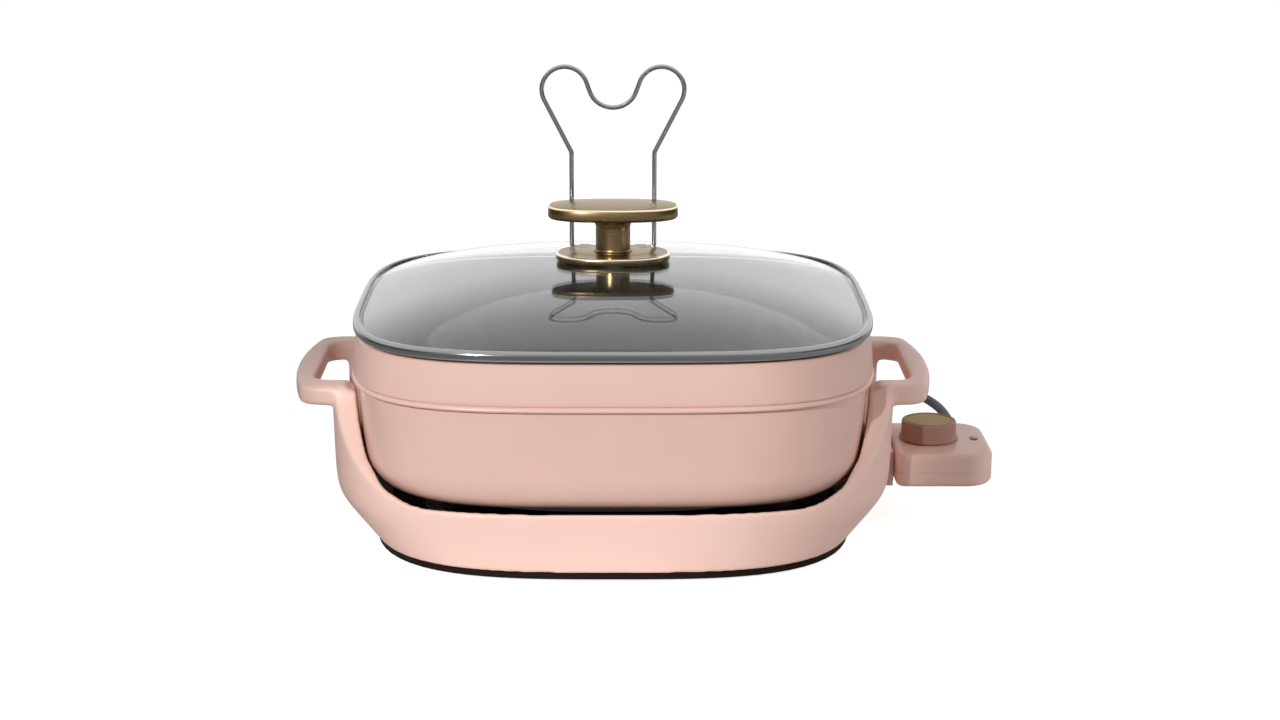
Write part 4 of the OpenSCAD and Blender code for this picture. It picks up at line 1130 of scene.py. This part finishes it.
class SKILLET_OT_cord(bpy.types.Operator):
    """Lay the mains cord, its tie and its plug behind the pan"""
    bl_idname = "skillet.cord"
    bl_label = "Mains cord"

    def execute(self, context):
        cord = settings().cord
        route = cord_points()
        curve = bpy.data.curves.new("mains_cord", "CURVE")
        curve.dimensions = "3D"
        spline = curve.splines.new("BEZIER")
        spline.bezier_points.add(len(route) - 1)
        for point, spot in zip(spline.bezier_points, route):
            point.co = spot
            point.handle_left_type = point.handle_right_type = "AUTO"
        curve.bevel_depth = cord.diameter / 2
        curve.bevel_resolution = 5
        curve.use_fill_caps = True
        curve.materials.append(FINISHES["jacket"])
        jacket = add_object("mains_cord", curve)
        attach(jacket, "control")
        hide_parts("cord_run", "cord_coil")
        length, fat = PLUG_HIGH.x - PLUG_LOW.x, (PLUG_HIGH.y - PLUG_LOW.y) / 2
        thin = cord.diameter / 2
        plug = about(thin, 0, (0.8, 0), (1.4, 0.5))
        for rib in range(4):
            plug += about(thin, (2 + 2.6 * rib) * MM, (1.5, 0), (0.9, 0.4), (0.9, 1.2), (1.6, 1.6))
        plug += about(thin, 0, (2.2, 13)) + about(fat, 0, (-3, 16), (-1.2, 18.4), (-0.3, 20), (0, 21.4))
        plug += about(fat, length, (0, -5), (-0.5, -4.6), (-0.5, -3.8), (0, -3.4), (0, -1.2), (-0.4, -0.4),
                      (-1.2, 0))
        middle = (PLUG_HIGH.x, *middle_of(PLUG_LOW, PLUG_HIGH)[1:])
        body = place("plug_moulding", lathe(plug, middle, "-x"), "control", "cord_jacket", ["plug"],
                     ["plug_body"])
        low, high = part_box("cord_tie")
        wall, bend = 0.8 * MM, 2.4 * MM

        def band(inset):
            half_y, half_z = (high.y - low.y) / 2 - inset, (high.z - low.z) / 2 - inset
            return rounded(half_y, half_z, bend - inset, 6) + middle_of(low, high)[1:]

        faces = [(0, low.x), (0, high.x), (wall, high.x), (wall, low.x)]
        rings = [np.column_stack([np.full(len(band(0)), x), band(inset)]) for inset, x in faces]
        tie = place("cord_strap", skin(rings, loop=True), "control", "dark_plastic", ["rubber"], ["cord_tie"])
        return {"FINISHED"}


class SKILLET_OT_inside(bpy.types.Operator):
    """Give the pieces inside and underneath their finishes"""
    bl_idname = "skillet.inside"
    bl_label = "Inner pieces"

    def execute(self, context):
        coats = {
            "bottom_plate": "dark", "foot_ring": "rubber", "heat_shield": "sheet",
            "insulating_washers": "dark", "heater_casting": "casting", "heating_element": "sheath",
            "terminal_pins": "contact", "terminal_block": "ceramic", "socket_shroud": "pink",
            "knob_gaskets": "silicone", "knob_bolt": "zinc", "control_nose": "pink",
            "contact_sleeves": "contact", "probe": "zinc", "thermostat": "switch",
            "indicator_lamp": "lamp", "dial_shaft": "zinc", "plug_blades": "contact"}
        for node, coat in coats.items():
            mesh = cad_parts[node].data
            mesh.materials.clear()
            mesh.materials.append(FINISHES[coat])
        return {"FINISHED"}


# Stage

CAMERA_TILT = math.radians(13.25)
CAMERA_AWAY = 1.5002
CAMERA_AIM = Vector((0, 0, 0.1351))
CAMERA_LENS = 68.86
CAMERA_SENSOR = 36
CAMERA_SHIFT = (0.0211, -0.0474)
FLOOR_CORNERS = ((-1.6, -1.4, 0), (1.6, -1.4, 0), (1.6, 1.2, 0), (-1.6, 1.2, 0))
FLOOR_COLOUR = (0.86, 0.86, 0.86, 1)
FLOOR_GLOW = 0.77
AMBIENT = 0.24
WHITE = (1, 1, 1, 1)
# Name, kind, place, aim, watts and the lamp's own settings
LAMPS = (
    ("key_lamp", "SPOT", (-0.7, -1.68, 0.95), (0, 0, 0.054), 117,
     {"spot_size": math.radians(10.7), "spot_blend": 0.45, "shadow_soft_size": 0.035}),
    ("fill_lamp", "AREA", (1.9, -0.45, 0.6), (0, 0, 0.05), 12, {"shape": "DISK", "size": 0.8}),
    ("back_lamp", "AREA", (0.1, 1.5, 1.6), (0, 0, 0.1), 4, {"shape": "DISK", "size": 1.4}),
)


def seen(paint, *kinds):
    """1 for rays of any of these kinds."""
    way = paint.tree.nodes.new("ShaderNodeLightPath")
    total = Field(paint, way.outputs[kinds[0]])
    for kind in kinds[1:]:
        total = total.maths("MAXIMUM", total, Field(paint, way.outputs[kind]))
    return total


class SKILLET_OT_stage(bpy.types.Operator):
    """Set the camera, the pale floor, the lamps and the surroundings"""
    bl_idname = "skillet.stage"
    bl_label = "Stage"

    def execute(self, context):
        scene = context.scene
        scene.view_settings.view_transform = "Standard"
        scene.camera = self.camera()
        self.floor()
        scene.world = self.surroundings()
        for lamp in LAMPS:
            self.lamp(*lamp)
        return {"FINISHED"}

    def camera(self):
        lens = bpy.data.cameras.new("photo_camera")
        lens.lens = CAMERA_LENS
        lens.sensor_width = CAMERA_SENSOR
        lens.shift_x, lens.shift_y = CAMERA_SHIFT
        camera = add_object("photo_camera", lens)
        back, up = CAMERA_AWAY * math.cos(CAMERA_TILT), CAMERA_AWAY * math.sin(CAMERA_TILT)
        camera.location = CAMERA_AIM + Vector((0, -back, up))
        camera.rotation_euler = (math.pi / 2 - CAMERA_TILT, 0, 0)
        return camera

    def floor(self):
        """A matt floor that keeps the shadow and fades into the white surroundings."""
        mesh = bpy.data.meshes.new("floor")
        mesh.from_pydata(FLOOR_CORNERS, [], [(0, 1, 2, 3)])
        material = bpy.data.materials.new("pale_floor")
        material.use_nodes = True
        material.node_tree.nodes.clear()
        paint = Paint(material.node_tree)
        matt = paint.node("ShaderNodeBsdfDiffuse", {}, {"Color": FLOOR_COLOUR})
        strength = FLOOR_GLOW * seen(paint, "Is Camera Ray", "Is Transmission Ray")
        glow = paint.node("ShaderNodeEmission", {}, {"Strength": strength})
        both = paint.node("ShaderNodeAddShader", {}, {0: matt, 1: glow})
        end = material.node_tree.nodes.new("ShaderNodeOutputMaterial")
        paint.feed(end.inputs["Surface"], both)
        mesh.materials.append(material)
        add_object("floor", mesh)

    def surroundings(self):
        """White to the camera, dim as ambient light, and shaded by flags at the sides in mirrors."""
        world = bpy.data.worlds.new("studio")
        world.use_nodes = True
        paint = Paint(world.node_tree)
        way = paint.node("ShaderNodeTexCoord", out="Generated")
        side, back, up = (paint.node("ShaderNodeSeparateXYZ", {}, {0: way}, out) for out in (0, 1, 2))
        sideways = side.maths("ABSOLUTE", side, 0)
        flags = paint.steps(sideways, 0.55, 0.85) * (1 - paint.steps(up, 0.2, 0.5))
        open_light = 0.42 + 0.58 * paint.steps(0.9 * up + 0.6 * back, -0.1, 0.6)
        mirrored_light = open_light * (1 - 0.85 * flags)
        direct = seen(paint, "Is Camera Ray", "Is Transmission Ray")
        glossy = seen(paint, "Is Glossy Ray")
        strength = AMBIENT + (1 - AMBIENT) * direct + (mirrored_light - AMBIENT) * glossy
        paint.fill(world.node_tree.nodes["Background"], {"Strength": strength, "Color": WHITE})
        return world

    def lamp(self, name, kind, place, target, watts, options):
        light = bpy.data.lights.new(name, kind)
        light.energy = watts
        for key, value in options.items():
            setattr(light, key, value)
        lamp = add_object(name, light)
        lamp.location = place
        aim = Vector(target) - lamp.location
        lamp.rotation_euler = aim.to_track_quat("-Z", "Y").to_euler()
        lamp.visible_glossy = kind == "SPOT"


# Add-on

OPERATORS = (SKILLET_OT_stage, SKILLET_OT_cord, SKILLET_OT_cradle, SKILLET_OT_pan, SKILLET_OT_lid,
             SKILLET_OT_knob, SKILLET_OT_wire, SKILLET_OT_control, SKILLET_OT_dial, SKILLET_OT_screws,
             SKILLET_OT_inside)


class SKILLET_PT_panel(bpy.types.Panel):
    """The skillet's pieces, in the order in which they are made"""
    bl_label = "Electric Skillet"
    bl_idname = "SKILLET_PT_panel"
    bl_space_type = "VIEW_3D"
    bl_region_type = "UI"
    bl_category = "Skillet"

    def draw(self, context):
        for kind in OPERATORS:
            self.layout.operator(kind.bl_idname)


CLASSES = (PanShape, CradleShape, LidShape, WireShape, ControlShape, CordShape, FinishColours,
           SkilletSettings, *OPERATORS, SKILLET_PT_panel)


def register():
    for kind in CLASSES:
        bpy.utils.register_class(kind)
    bpy.types.Scene.skillet = PointerProperty(type=SkilletSettings)


def unregister():
    del bpy.types.Scene.skillet
    for kind in reversed(CLASSES):
        bpy.utils.unregister_class(kind)


def main():
    register()
    mix_finishes()
    for kind in OPERATORS:
        group, action = kind.bl_idname.split(".")
        getattr(getattr(bpy.ops, group), action)()


if __name__ == "__main__":
    main()
